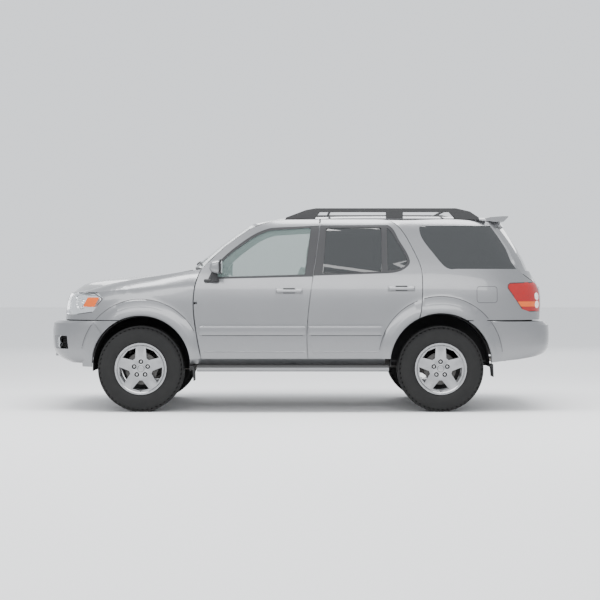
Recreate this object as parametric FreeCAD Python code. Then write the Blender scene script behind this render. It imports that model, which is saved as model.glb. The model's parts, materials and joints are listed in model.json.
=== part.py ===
"""A full-size five-door sport utility vehicle, as named panels, glass, running gear and cabin pieces.

Millimetres. +X points to the rear, +Y to the vehicle's right, +Z up. The origin is on the ground,
under the middle of the vehicle's length. The left side, which carries the fuel door, faces -Y.
"""
import FreeCAD, Part
import math
import os

V = FreeCAD.Vector
LEFT, RIGHT = -1, 1
SIDES = (("left", LEFT), ("right", RIGHT))

# Overall sizes
overall_length = 5060.0
wheelbase = 2950.0
front_overhang = 964.0
body_half_width = 955.0
roof_height = 1952.0
rack_height = 2018.0
belt_height = 1330.0
door_bottom = 525.0
bumper_top = 896.0

# Wheels
tyre_diameter = 849.0
tyre_width = 262.0
rim_diameter = 510.0
rim_width = 230.0
track_half = 822.0
stud_circle = 139.7
stud_count = 5
spoke_count = 5

# Steering
kingpin_y = 785.0

# Body panels
panel_gap = 8.0
seat_gap = 0.3
skin = 5.0
door_depth = 75.0
frame_depth = 42.0
pillar_gap = 12.0
pillar_depth = 62.0
glass_thickness = 5.0
glass_recess = 9.0
glass_fit = 0.4
trim_recess = 3.0
flare_height = 33.0
lip_allowance = 9.0
arch_radius_front = 490.0
arch_rise_front = 35.0
arch_radius_rear = 500.0
arch_rise_rear = 49.0
flare_radius_front = 600.0
flare_rise_front = 83.0
flare_radius_rear = 608.0
flare_rise_rear = 103.0
liner_clearance = 9.3
quarter_depth = 51.0

nose_x = -overall_length / 2
tail_x = overall_length / 2
past_nose = nose_x - 170
past_tail = tail_x + 170
front_axle_x = nose_x + front_overhang
rear_axle_x = front_axle_x + wheelbase
axle_z = tyre_diameter / 2


# Curves and skins

def curve(*points):
    """A smooth height over a run of (position, value) points, flat beyond both ends, with no overshoot."""
    xs, ys = zip(*points)
    steps = [(ys[i + 1] - ys[i]) / (xs[i + 1] - xs[i]) for i in range(len(xs) - 1)]
    slopes = [0.0] * len(xs)
    slopes[0], slopes[-1] = steps[0], steps[-1]
    for i in range(1, len(xs) - 1):
        before, after = steps[i - 1], steps[i]
        if before * after > 0:
            slopes[i] = 2 * before * after / (before + after)

    def value(x):
        if x <= xs[0]:
            return ys[0]
        if x >= xs[-1]:
            return ys[-1]
        i = max(k for k in range(len(xs) - 1) if xs[k] <= x)
        run = xs[i + 1] - xs[i]
        t = (x - xs[i]) / run
        return ((2 * t**3 - 3 * t**2 + 1) * ys[i] + (t**3 - 2 * t**2 + t) * run * slopes[i]
                + (3 * t**2 - 2 * t**3) * ys[i + 1] + (t**3 - t**2) * run * slopes[i + 1])
    return value


def spread(start, end, count):
    return [start + (end - start) * i / (count - 1) for i in range(count)]


def spline_poles(points):
    """The control points of the natural cubic spline through points that are one step apart."""
    last = len(points) - 1
    bends = [V(0, 0, 0)] * (last + 1)
    factors, values = [0.0], [V(0, 0, 0)]
    for i in range(1, last):
        turn = (points[i + 1] - points[i] * 2 + points[i - 1]) * 6
        weight = 1 / (4 - factors[-1])
        factors.append(weight)
        values.append((turn - values[-1]) * weight)
    for i in range(last - 1, 0, -1):
        bends[i] = values[i] - bends[i + 1] * factors[i]
    start = points[1] - points[0] - bends[1] * (1 / 6)
    end = points[last] - points[last - 1] + bends[last - 1] * (1 / 6)
    middle = [points[i] - bends[i] * (1 / 6) for i in range(1, last)]
    return [points[0], points[0] + start * (1 / 3)] + middle + [points[last] - end * (1 / 3), points[last]]


def closed_solid(faces):
    shell = Part.Shell(faces)
    shell.sewShape()
    solid = Part.Solid(Part.Shell(shell.Faces))
    if solid.Volume < 0:
        solid.reverse()
    return solid


def spline_edge(points):
    curve_of = Part.BSplineCurve()
    if len(points) == 2:
        return Part.LineSegment(*points).toShape()
    spans = len(points) - 1
    curve_of.buildFromPolesMultsKnots(spline_poles(points), [4] + [1] * (spans - 1) + [4],
                                      list(range(spans + 1)), False, 3)
    return curve_of.toShape()


def bar_through(rows):
    """A solid whose section is the closed ring of the rows' points, with flat strips from row to row."""
    edges = [spline_edge(row) for row in rows]
    faces = [Part.makeRuledSurface(edges[i - 1], edges[i]) for i in range(len(edges))]
    for end in (0, -1):
        faces += end_cap([row[end] for row in rows])
    return closed_solid(faces)


def end_cap(corners):
    """A flat face over a ring of corners, or a fan of triangles where they don't lie in one plane."""
    first, middle = corners[0], corners[1:]
    normal = (middle[0] - first).cross(middle[1] - first).normalize()
    if all(abs((corner - first).dot(normal)) < 1e-7 for corner in middle):
        return [Part.Face(Part.makePolygon(corners + [first]))]
    return [Part.Face(Part.makePolygon([first, a, b, first])) for a, b in zip(middle, middle[1:])]


def corner_faces(a, b, c, d):
    return [Part.Face(Part.makePolygon([a, b, c, a])), Part.Face(Part.makePolygon([a, c, d, a]))]


def shell_between(outer, inner):
    """The solid between two grids: each pair of rows is joined by a strip, smooth along the rows."""
    outer_edges = [spline_edge(row) for row in outer]
    inner_edges = [spline_edge(row) for row in inner]
    faces = [Part.makeRuledSurface(outer_edges[0], inner_edges[0]),
             Part.makeRuledSurface(outer_edges[-1], inner_edges[-1])]
    for edges in (outer_edges, inner_edges):
        faces += [Part.makeRuledSurface(a, b) for a, b in zip(edges, edges[1:])]
    for i in range(len(outer) - 1):
        for end in (0, -1):
            faces += corner_faces(outer[i][end], outer[i + 1][end], inner[i + 1][end], inner[i][end])
    return closed_solid(faces)


def wire_of(points_of_runs, to_point):
    """A closed wire of runs: two points give a line, more a spline, and an arc is ("arc", a, b, c)."""
    edges = []
    for run in points_of_runs:
        if run[0] == "arc":
            edges.append(Part.Arc(*[to_point(p) for p in run[1:]]).toShape())
        elif len(run) == 2:
            edges.append(Part.LineSegment(to_point(run[0]), to_point(run[1])).toShape())
        else:
            spline = Part.BSplineCurve()
            spline.interpolate([to_point(p) for p in run])
            edges.append(spline.toShape())
    return Part.Wire(edges)


def side_prism(side, runs, reach=(300.0, 1300.0)):
    """What lies inside a side-view outline, on one side of the vehicle."""
    near, far = sorted((side * reach[0], side * reach[1]))
    face = Part.Face(wire_of(runs, lambda p: V(p[0], near, p[1])))
    return face.extrude(V(0, far - near, 0))


def box(x, y, z):
    return Part.makeBox(x[1] - x[0], y[1] - y[0], z[1] - z[0], V(x[0], y[0], z[0]))


def fused(solids):
    whole = solids[0].fuse(solids[1:]) if len(solids) > 1 else solids[0]
    return whole.removeSplitter()


def mirrored(shape):
    return shape.mirror(V(0, 0, 0), V(0, 1, 0))


def polygon_runs(points):
    return [(points[i], points[(i + 1) % len(points)]) for i in range(len(points))]


def rounded_runs(points, radius):
    """A polygon's runs with each corner rounded by a tangent arc."""
    starts, ends, arcs = [], [], []
    for i, corner in enumerate(points):
        before, after = points[i - 1], points[(i + 1) % len(points)]
        a = (V(*before, 0) - V(*corner, 0)).normalize()
        b = (V(*after, 0) - V(*corner, 0)).normalize()
        half = math.acos(max(-1.0, min(1.0, a.dot(b)))) / 2
        reach = radius / math.tan(half)
        centre = V(*corner, 0) + (a + b).normalize() * (radius / math.sin(half))
        first, last = V(*corner, 0) + a * reach, V(*corner, 0) + b * reach
        middle = centre + (V(*corner, 0) - centre).normalize() * radius
        starts.append((first.x, first.y))
        ends.append((last.x, last.y))
        arcs.append(("arc", (first.x, first.y), (middle.x, middle.y), (last.x, last.y)))
    runs = []
    for i, arc in enumerate(arcs):
        runs.append(arc)
        runs.append((ends[i], starts[(i + 1) % len(points)]))
    return runs


# The body's outer surface

def behind_bumper(*points):
    """(height or width, reach) points, from how far each lies behind the bumper's foremost face."""
    return [(place, overall_length / 2 - short) for place, short in points]


half_width = curve((380, body_half_width - 50), (470, body_half_width - 32), (590, body_half_width - 9),
                   (800, body_half_width), (1000, body_half_width - 2), (1170, body_half_width - 13),
                   (belt_height, body_half_width - 42), (1600, 838), (1800, 774), (1850, 753), (1880, 734),
                   (1900, 713), (1960, 650))
nose_reach = curve(*behind_bumper((400, 125), (900, 125), (1060, 138), (1170, 178), (1250, 245), (1330, 330)))
tail_reach = curve(*behind_bumper((400, 90), (880, 90), (1100, 80), (1230, 94), (1290, 138), (1370, 185),
                                  (1505, 240), (1674, 335), (1866, 460), (1905, 490)))
nose_power, tail_power = 6.0, 8.0
nose_bow, tail_bow = 70.0, 45.0


side_stations = (380, 470, 530, 590, 700, 800, 1000, 1100, 1170, 1250, 1330, 1460, 1600, 1740, 1810, 1850,
                 1880, 1905, 1960)
shape_width = half_width


def half_width(z):
    """The body's half width at a height, straight between the side stations."""
    if z <= side_stations[0] or z >= side_stations[-1]:
        return shape_width(z)
    above = next(i for i, station in enumerate(side_stations) if station > z)
    low, high = side_stations[above - 1], side_stations[above]
    t = (z - low) / (high - low)
    return shape_width(low) + t * (shape_width(high) - shape_width(low))


def heights_in(z_range):
    return [z_range[0]] + [z for z in side_stations if z_range[0] < z < z_range[1]] + [z_range[1]]


def plan_x(share, reach, power, bow):
    """How far from the middle the plan outline lies, at a share of the half width."""
    return (reach - bow * share**2) * max(1 - share**power, 0.0) ** (1 / power)


def side_y(x, z, inset=0.0):
    """The body side's distance from the centre plane at (x, z)."""
    front = x < 0
    reach = (nose_reach(z) if front else tail_reach(z)) - inset
    power, bow = (nose_power, nose_bow) if front else (tail_power, tail_bow)
    low, high = 0.0, 1.0
    for _ in range(40):
        middle = (low + high) / 2
        if plan_x(middle, reach, power, bow) > abs(x):
            low = middle
        else:
            high = middle
    return low * (half_width(z) - inset)


def plan_run(width, reach, power, bow, x_end, share_start, count):
    """Points of a plan outline, (distance along X, y), from the end face round to the side.

    They lie closer together where the outline turns.
    """
    fine = 300
    dense = []
    for i in range(fine + 1):
        share = 1 - (1 - share_start) * (1 - i / fine) ** 2.5
        x = plan_x(share, reach, power, bow)
        if x < x_end:
            break
        dense.append((x, share * width))
    dense.append((x_end, dense[-1][1]))
    steps = [math.hypot(b[0] - a[0], b[1] - a[1]) for a, b in zip(dense, dense[1:])]
    headings = [math.atan2(b[1] - a[1], a[0] - b[0]) for a, b in zip(dense, dense[1:])]
    total = sum(steps)
    lengths = [0.0]
    for i, step in enumerate(steps):
        turn = abs(headings[i] - headings[i - 1]) if i else 0.0
        lengths.append(lengths[-1] + step / total + 0.8 * turn)
    points, k = [], 0
    for target in spread(0.0, lengths[-1], count):
        while k < len(lengths) - 2 and lengths[k + 1] < target:
            k += 1
        t = (target - lengths[k]) / max(lengths[k + 1] - lengths[k], 1e-9)
        t = min(max(t, 0.0), 1.0)
        points.append((dense[k][0] + t * (dense[k + 1][0] - dense[k][0]),
                       dense[k][1] + t * (dense[k + 1][1] - dense[k][1])))
    return points


def side_skin(side, x_range, z_range, outer, inner):
    """A slab of the straight part of the body side, between two depths."""
    heights = heights_in(z_range)
    outside = [V(x_range[0], side * (half_width(z) - outer), z) for z in heights]
    inside = [V(x_range[0], side * (half_width(z) - inner), z) for z in heights]
    ring = outside + inside[::-1]
    return Part.Face(Part.makePolygon(ring + [ring[0]])).extrude(V(x_range[1] - x_range[0], 0, 0))


def tail_skin(side, x_start, y_end, z_range, outer, inner, count=11):
    """The rear quarter's slab, from x_start on the side round the corner to y_end on the tail."""
    def grid(depth):
        rows = []
        for z in heights_in(z_range):
            width, reach = half_width(z) - depth, tail_reach(z) - depth
            run = plan_run(width, reach, tail_power, tail_bow, x_start, y_end / width, count)
            rows.append([V(x, side * y, z) for x, y in run])
        return rows
    return shell_between(grid(outer), grid(inner))


def export(name, shape):
    solids = shape if isinstance(shape, list) else [shape]
    solids = [s for shape in solids for s in shape.Solids]
    for solid in solids:
        if not solid.isValid():
            print("invalid solid in", name)
    whole = solids[0] if len(solids) == 1 else Part.makeCompound(solids)
    whole.exportStep(f"parts/{name}.step")


# Outlines in side view, as (x, z)

front_seam_x = front_axle_x + 525.0
b_seam_x = front_axle_x + 1635.0
rear_seam_x = rear_axle_x - 183.0
roof_seam_z = 1904.0


def arch_point(axle_x, radius, rise, degrees):
    a = math.radians(degrees)
    return (axle_x + radius * math.cos(a), axle_z + rise + radius * math.sin(a))


def arch_angle(radius, rise, z):
    """The angle, up from the rear horizontal, at which an arch passes a height."""
    return math.degrees(math.asin((z - axle_z - rise) / radius))


def b_seam(shift):
    """The seam between the doors; at the roof its gap doubles, as the front door's top corner swings back there."""
    return [(b_seam_x + 124 + 2 * shift, roof_seam_z), (b_seam_x + 62 + shift, 1380), (b_seam_x + shift, 868),
            (b_seam_x - 5 + shift, 700), (b_seam_x + 7 + shift, door_bottom)]


def front_door_outline():
    hinge_edge = [(front_seam_x + 75, door_bottom), (front_seam_x + 41, 700), (front_seam_x + 14, 868),
                  (front_seam_x, 1131), (front_seam_x + 31, 1305), (front_seam_x + 75, 1410)]
    pillar_edge = [hinge_edge[-1], (front_seam_x + 299, 1625), (front_seam_x + 543, 1802),
                   (front_seam_x + 762, 1882), (front_seam_x + 1041, 1901), b_seam(0)[0]]
    seam = b_seam(0)
    return [hinge_edge, pillar_edge, seam, (seam[-1], hinge_edge[0])]


def rear_door_outline():
    seam = b_seam(panel_gap)
    start = arch_angle(arch_radius_rear, arch_rise_rear, 924)
    stop = arch_angle(arch_radius_rear, arch_rise_rear, door_bottom)
    arch = [arch_point(rear_axle_x, arch_radius_rear, arch_rise_rear, 180 - a)
            for a in (start, (start + stop) / 2, stop)]
    x = rear_seam_x
    back = [(x - 430, roof_seam_z), (x - 370, 1901), (x - 310, 1888), (x - 255, 1857), (x - 205, 1806),
            (x - 85, 1598), (x - 8, 1400), (x, 1270), (x - 5, 1099), (x - 24, 960), arch[0]]
    return [(seam[0], back[0]), back, ("arc", *arch), (arch[2], seam[-1]), seam[::-1]]


def front_window_ring():
    front = [(front_seam_x + 136, 1306), (front_seam_x + 254, 1490), (front_seam_x + 447, 1658),
             (front_seam_x + 622, 1770), (front_seam_x + 763, 1818)]
    return [front, (front[-1], (b_seam_x + 160, 1842)), ((b_seam_x + 160, 1842), (b_seam_x + 90, 1332)),
            ((b_seam_x + 90, 1332), front[0])]


def front_window_hole():
    front = [(front_seam_x + 178, 1326), (front_seam_x + 272, 1475), (front_seam_x + 460, 1636),
             (front_seam_x + 632, 1746), (front_seam_x + 770, 1794)]
    return [front, (front[-1], (b_seam_x + 40, 1818)), ((b_seam_x + 40, 1818), (b_seam_x - 22, 1352)),
            ((b_seam_x - 22, 1352), front[0])]


def rear_window_ring():
    x = rear_seam_x
    back = [(x - 326, 1845), (x - 280, 1810), (x - 229, 1715), (x - 128, 1532), (x - 118, 1466),
            (x - 157, 1417), (x - 239, 1378), (x - 400, 1362)]
    return [back, (back[-1], (b_seam_x + 20, 1338)), ((b_seam_x + 20, 1338), (b_seam_x + 95, 1842)),
            ((b_seam_x + 95, 1842), back[0])]


def rear_window_hole():
    return rounded_runs([(b_seam_x + 152, 1358), (b_seam_x + 192, 1818), (rear_seam_x - 392, 1822),
                         (rear_seam_x - 392, 1382)], 22)


def rear_light_hole():
    x = rear_seam_x
    back = [(x - 338, 1818), (x - 310, 1796), (x - 250, 1703), (x - 152, 1524), (x - 145, 1475),
            (x - 172, 1432), (x - 240, 1404), (x - 338, 1390)]
    return [back, (back[-1], back[0])]


def quarter_window(inset=0.0):
    top, low, x = 1840 - inset, 1407 + inset, rear_seam_x
    back = [(x + 804 - inset, top), (x + 900 - inset, 1700), (x + 984 - inset, 1560), (x + 1043 - inset, low)]
    front = [(x + 330 + inset, low), (x + 236 + inset, 1424 + inset / 2), (x + 180 + inset, 1480),
             (x + 95 + inset, 1590), (x - 15 + inset, 1800), (x - 12 + inset, 1826 - inset),
             (x + 10 + inset, top)]
    return [(front[-1], back[0]), back, (back[-1], front[0]), front]


def shrunk(prism, fit):
    """A prism across the vehicle, drawn in by about a fit all round its side view."""
    box_of = prism.optimalBoundingBox()
    middle = box_of.Center
    scale = FreeCAD.Matrix()
    scale.move(middle * -1)
    scale.scale(1 - 2 * fit / box_of.XLength, 1.0, 1 - 2 * fit / box_of.ZLength)
    scale.move(middle)
    return prism.transformGeometry(scale)


def shrunk_prism(side, runs, fit):
    return shrunk(side_prism(side, runs), fit)


# Wheel-arch flares

def flare_band(side, axle_x, arch, flare, flange=0.0):
    """The raised lip round a wheel arch: proud at the opening, sunk just into the panel at its rim.

    A flange turned in at the opening carries the wheel liner.
    """
    (arch_radius, arch_rise), (flare_radius, flare_rise) = arch, flare
    arch_radius -= lip_allowance
    angles = spread(-7, 187, 11)
    lips = [arch_point(axle_x, arch_radius, arch_rise, a) for a in angles]
    rims = [arch_point(axle_x, flare_radius, flare_rise, a) for a in angles]
    rows = []
    section = [(0.0, flare_height), (0.45, flare_height - 4), (1.0, -2), (1.0, 1 - skin)]
    section += [(0.06, 1 - skin), (0.06, -flange), (0.0, -flange)] if flange else [(0.0, 1 - skin)]
    for t, height in section:
        row = []
        for lip, rim in zip(lips, rims):
            x, z = lip[0] + t * (rim[0] - lip[0]), lip[1] + t * (rim[1] - lip[1])
            row.append(V(x, side * (side_y(x, z) + height), z))
        rows.append(row)
    return bar_through(rows)


front_arch = ((arch_radius_front, arch_rise_front), (flare_radius_front, flare_rise_front))
rear_arch = ((arch_radius_rear, arch_rise_rear), (flare_radius_rear, flare_rise_rear))


# Doors and their glass

hinge_y = 946.0
door_edge_gap = 12.0
hinge_inset = 20.0
front_hinge = (front_seam_x + hinge_inset, (790.0, 1060.0))
rear_hinge = (b_seam_x + panel_gap + hinge_inset, (680.0, 880.0))


def hinge_pocket(side, hinge):
    """The notch and pin holes in a door's front edge, round each of its two hinges."""
    x, heights = hinge
    cuts = []
    for z in heights:
        y = sorted((side * (hinge_y + 4), side * (hinge_y - 90)))
        cuts.append(box((x - 60, x + 12), y, (z - 24, z + 24)))
        cuts.append(Part.makeCylinder(pin_radius + seat_gap, 80, V(x, side * hinge_y, z - 40)))
    return cuts


def hinge_straps(side, hinge, inner_y, root):
    """The straps on a pillar, each holding the upright pin that a door turns on."""
    x, heights = hinge
    straps = []
    for z in heights:
        points = [(x - root, inner_y), (x - 8, inner_y), (x + 3, hinge_y - 3), (x + 1, hinge_y + 3), (x - 4, hinge_y)]
        plate = polygon_plate([(px, side * py) for px, py in points], z - 16, 32)
        pin = Part.makeCylinder(pin_radius, 72, V(x, side * hinge_y, z - 36))
        straps.append(plate.fuse(pin))
    return straps


def door(side, outline, x_range, ring, holes, extras, hinge):
    slab = side_skin(side, x_range, (door_bottom - 20, 1925), 0, frame_depth)
    box_section = side_skin(side, x_range, (door_bottom - 20, belt_height - 5), frame_depth - 4, door_depth)
    panel = slab.fuse(box_section).common(side_prism(side, outline))
    for extra in extras:
        panel = panel.fuse(extra.common(side_prism(side, outline)))
    recess = side_skin(side, x_range, (1280, 1870), -6, trim_recess)
    panel = panel.cut([recess.common(side_prism(side, ring))] + [side_prism(side, hole) for hole in holes])
    return panel.cut(hinge_pocket(side, hinge))


def door_glass(side, x_range, holes):
    sheet = side_skin(side, x_range, (1290, 1860), glass_recess, glass_recess + glass_thickness)
    return [sheet.common(shrunk_prism(side, hole, glass_fit)) for hole in holes]


def moulding(side, x_start, x_end, z_mid):
    bar = side_skin(side, (x_start, x_end), (z_mid - 52, z_mid + 52), -13, 2)
    return bar.common(side_prism(side, rounded_runs([(x_start, z_mid - 52), (x_end, z_mid - 52),
                                                     (x_end, z_mid + 52), (x_start, z_mid + 52)], 24)))


def build_doors():
    front_range = (front_seam_x - 30, b_seam_x + 150)
    rear_range = (b_seam_x - 30, rear_seam_x + 30)
    flare = flare_band(LEFT, rear_axle_x, *rear_arch)
    front = door(LEFT, front_door_outline(), front_range, front_window_ring(), [front_window_hole()],
                 [moulding(LEFT, front_seam_x + 53, b_seam_x - 12, 802)], front_hinge)
    rear = door(LEFT, rear_door_outline(), rear_range, rear_window_ring(),
                [rear_window_hole(), rear_light_hole()],
                [flare, moulding(LEFT, b_seam_x + panel_gap + 6, rear_seam_x - 378, 802)], rear_hinge)
    front_glass = door_glass(LEFT, front_range, [front_window_hole()])
    rear_glass = door_glass(LEFT, rear_range, [rear_window_hole(), rear_light_hole()])
    for name, side in SIDES:
        turn = (lambda s: s) if side == LEFT else mirrored
        export(f"front_door_{name}", turn(front))
        export(f"rear_door_{name}", turn(rear))
        export(f"front_door_glass_{name}", [turn(g) for g in front_glass])
        export(f"rear_door_glass_{name}", [turn(g) for g in rear_glass])


# Roof, hood, windshield and the panels between them

roof_front_x = front_axle_x + 1066.0
roof_rear_x = rear_axle_x + 478.0
roof_thickness = 30.0
roof_middle = curve((roof_front_x, 1868), (roof_front_x + 200, 1912), (roof_front_x + 500, 1936),
                    (roof_front_x + 900, roof_height - 3), (roof_rear_x - 962, roof_height),
                    (roof_rear_x - 462, roof_height - 2), (roof_rear_x, 1938))
roof_edge = curve((roof_front_x, 1815), (roof_front_x + 200, 1886), (roof_front_x + 500, 1908),
                  (roof_front_x + 700, 1911), (roof_rear_x - 762, 1911), (roof_rear_x, 1893))


roof_front_bow = 84.0
roof_stations = spread(roof_front_x, roof_rear_x, 9)
roof_shares = spread(-1.0, 1.0, 15)


def roof_point(x, share, drop=0.0, edge_drop=0.0):
    """A point of the roof: its front edge bows rearwards towards the pillars."""
    x += roof_front_bow * share**2 * max(0.0, 1 - (x - roof_front_x) / 600)
    edge = roof_edge(x)
    width = half_width(edge) - 3
    middle = roof_middle(x) - drop
    return V(x, share * width, middle - (middle - edge + edge_drop) * abs(share)**5)


def roof_sheet(drop, edge_drop, shift):
    return [[roof_point(x, s, drop, edge_drop) + V(0, 0, shift) for s in roof_shares] for x in roof_stations]


def build_roof():
    panel = shell_between(roof_sheet(0, 0, 0), roof_sheet(roof_thickness, 4, 0))
    for side in (LEFT, RIGHT):
        for outline, gap in ((front_door_outline(), panel_gap - 2), (rear_door_outline(), panel_gap - 2),
                             (quarter_outline(), 3.0)):
            raised = side_prism(side, outline, (600.0, 1300.0))
            raised.translate(V(0, 0, gap))
            panel = panel.cut(raised)
    x, z = tailgate_hinge
    for y in (-420, 420):
        tab = box((roof_rear_x - 12, x), (y - 10, y + 10), (z - pin_radius, z + pin_radius))
        panel = panel.fuse(tab.fuse(hinge_pin(x, y, z)))
    export("roof_panel", panel)


tailgate_hinge = (roof_rear_x + 13, 1922.0)
hood_hinge = (nose_x + 1426, 1371.0)
pin_radius = 3.0


def hinge_pin(x, y, z):
    return Part.makeCylinder(pin_radius, 60, V(x, y - 30, z), V(0, 1, 0))


def hinge_lugs(x, y, z, reach):
    """Two lugs round a pin's ends, each drilled to turn on it; reach is a box that joins them to the panel."""
    lugs = []
    for shift in (-22, 22):
        eye = Part.makeCylinder(7, 16, V(x, y + shift - 8, z), V(0, 1, 0))
        arm = box(reach[0], (y + shift - 8, y + shift + 8), reach[1])
        bore = Part.makeCylinder(pin_radius + seat_gap, 20, V(x, y + shift - 10, z), V(0, 1, 0))
        lugs.append(eye.fuse(arm).cut(bore))
    return lugs


def above_roof_lining():
    """Everything higher than the underside of the roof, to trim the pillars."""
    low = roof_sheet(roof_thickness, 4, -seat_gap)
    high = [[V(p.x, p.y, 2200) for p in row] for row in low]
    return shell_between(low, high)


hood_seam_z = curve((nose_x + 330, 1183), (nose_x + 730, 1279), (nose_x + 1130, 1340), (nose_x + 1500, 1406))
hood_seam_y = curve((nose_x + 330, 640), (nose_x + 730, 735), (nose_x + 1130, 775), (nose_x + 1500, 800))
hood_lip_x = curve(*behind_bumper((0, 182), (300, 195), (500, 238), (600, 287), (640, 330)))
hood_lip_z = curve((0, 1166), (400, 1170), (640, 1183))
hood_stations = [(nose_x + middle, nose_x + edge) for middle, edge in (
    (1425, 1470), (1180, 1200), (940, 950), (720, 740), (530, 560), (390, 440), (295, 370), (230, 340))]
hood_middle = (1392, 1371, 1351, 1331, 1312, 1292, 1262, 1222)


def hood_point(row, share, drop=0.0):
    """A point of the hood: rows run from the cowl to the lip over the grille, shares across."""
    if row < len(hood_stations):
        x_middle, x_edge = hood_stations[row]
        z_middle = hood_middle[row]
        y_edge, z_edge = hood_seam_y(x_edge), hood_seam_z(x_edge)
        x = x_middle + (x_edge - x_middle) * share**2
        z = z_middle + (z_edge - z_middle) * abs(share)**2.3
        y = share * y_edge
    else:
        y = share * 640.0
        x, z = -hood_lip_x(abs(y)), hood_lip_z(abs(y))
    return V(x + drop * (row >= 7), y - math.copysign(min(drop, 4) * abs(share)**6, share), z - drop * 0.9)


def build_hood():
    rows = range(len(hood_stations) + 1)
    shares = spread(-1.0, 1.0, 13)
    outer = [[hood_point(r, s * 0.991) for s in shares] for r in rows]
    inner = [[hood_point(r, s * 0.991, 16) for s in shares] for r in rows]
    panel = shell_between(outer, inner)
    x, z = hood_hinge
    for y in (-640, 640):
        panel = panel.fuse(hinge_lugs(x, y, z, ((x - 7, x + 3), (z, hood_point(0, 0.83, 10).z))))
    export("hood", panel)


def fender_grid(depth):
    rows = []
    for z in (bumper_top + 2, 960, 1020, 1080, 1130):
        width, reach = half_width(z) - depth, nose_reach(z) - depth
        run = plan_run(width, reach, nose_power, nose_bow, 955.0, 470 / width, 14)
        rows.append([V(-x, -y, z) for x, y in run])
    shoulder = rows[-1]
    for t in (0.35, 0.7, 1.0):
        row = []
        for p in shoulder:
            y = abs(p.y)
            if p.x > nose_x + 350:
                seam = V(p.x, hood_seam_y(p.x), hood_seam_z(p.x))
            else:
                y_seam = min(y * 640 / 762, 640)
                seam = V(-hood_lip_x(y_seam) - panel_gap * 0.8, y_seam, hood_lip_z(y_seam))
            seam = V(seam.x, seam.y + panel_gap * 0.7, seam.z - depth)
            bend = V(p.x + (seam.x - p.x) * 0.15, y, seam.z - (seam.z - p.z) * 0.25)
            start = V(p.x, y, p.z)
            q = start * (1 - t)**2 + bend * (2 * t * (1 - t)) + seam * t**2
            row.append(V(q.x, -q.y, q.z))
        rows.append(row)
    return rows


lamp_side = [(nose_x + x, z) for x, z in ((-120, 1178), (530, 1178), (585, 1113), (478, 978), (270, 955), (-120, 955))]
lamp_front = ((500, 1185), (1000, 1185), (1000, 955), (560, 955))


def fender_shell(depth_out, depth_in):
    return shell_between(fender_grid(depth_out), fender_grid(depth_in))


def lamp_prisms():
    side_face = Part.Face(wire_of(rounded_runs(lamp_side, 24), lambda p: V(p[0], -1300, p[1])))
    front_face = Part.Face(wire_of(rounded_runs([(-y, z) for y, z in lamp_front], 24), lambda p: V(-2700, p[0], p[1])))
    volume = side_face.extrude(V(0, 1000, 0)).common(front_face.extrude(V(1000, 0, 0)))
    return volume


def build_fenders():
    z_low = bumper_top + panel_gap
    low = arch_angle(arch_radius_front, arch_rise_front, z_low)
    arch = [arch_point(front_axle_x, arch_radius_front, arch_rise_front, a) for a in (180 - low, 90, 0)]
    leg = (arch[2][0], door_bottom)
    edge = [(x - door_edge_gap, z) for x, z in front_door_outline()[0]]
    top = (edge[-1][0], 1500)
    outline = [((-2700, z_low), arch[0]), ("arc", *arch), (arch[2], leg), (leg, edge[0]), edge, (edge[-1], top),
               (top, (-2700, 1500)), ((-2700, 1500), (-2700, z_low))]
    prism = side_prism(LEFT, outline)
    upper = fender_shell(0, skin)
    lower = side_skin(LEFT, (-1200, -950), (door_bottom - 15, bumper_top + 20), 0, skin)
    flare = flare_band(LEFT, front_axle_x, *front_arch, 84)
    lamp = lamp_prisms()
    panel = upper.common(prism).cut(lamp)
    panel = panel.fuse(lower.common(prism)).fuse(flare.common(prism))
    housing = fender_shell(3, 25).common(shrunk(lamp, seat_gap))
    export("front_fenders", [panel, mirrored(panel)])
    export("headlamps", [housing, mirrored(housing)])


def screen_point(u, share, depth=0.0):
    """A point of the windshield: u runs up the glass from its base, share across, depth inwards."""
    x = -1096 + 556 * u + (128 - 36 * u) * share**2
    z = 1438 + 424 * u + 16 * math.sin(math.pi * u) - 20 * share**2
    return V(x + depth * 0.55, share * (812 - 128 * u), z - depth * 0.8)


cowl_half = half_width(belt_height + 16) - door_depth - pillar_depth - 1
screen_rows = spread(0, 1, 6)
screen_shares = spread(-1, 1, 11)


def screen_sheet(depth):
    return [[screen_point(u, s, depth) for s in screen_shares] for u in screen_rows]


def build_windshield():
    export("windshield", shell_between(screen_sheet(0), screen_sheet(6)))
    below = 6 + seat_gap
    widths = [s * cowl_half for s in screen_shares]
    top_widths = [s * (cowl_half - 20) for s in screen_shares]
    front = [screen_point(0, y / 812, below) + V(0, 0, -2) for y in widths]
    top = [screen_point(0.2, y / (812 - 128 * 0.2), below) for y in top_widths]
    back = [V(p.x, p.y, p.z - 8) for p in top]
    foot_back = [V(-1062 + 50 * (y / 800)**2, y, 1330) for y in widths]
    foot_front = [V(-1073 + 50 * (y / 800)**2, y, 1330) for y in widths]
    web = bar_through([front, top, back, foot_back, foot_front])
    web = web.cut(shell_between([[screen_point(u, s, -200) for s in screen_shares] for u in screen_rows],
                                screen_sheet(below)))
    edge = [(-1085, 560), (-1068, 560), (-1068, cowl_half), (-1012, cowl_half)]
    foot = polygon_plate(edge + [(x, -y) for x, y in edge[::-1]], 1330, 6)
    pins = []
    hinge_x, hinge_z = hood_hinge
    for y in (-640, 640):
        arm = [(-1064, 1330), (-1085, 1330), (hinge_x - 5, hinge_z - 24), (hinge_x - 5, hinge_z + 3),
               (hinge_x + 5, hinge_z + 3), (hinge_x + 9, hinge_z - 26)]
        face = Part.Face(wire_of(polygon_runs(arm), lambda p: V(p[0], y - 10, p[1])))
        pins.append(face.extrude(V(0, 20, 0)).fuse(hinge_pin(hinge_x, y, hinge_z)))
    export("cowl", web.fuse([foot] + pins))


# The cabin's frame

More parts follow.
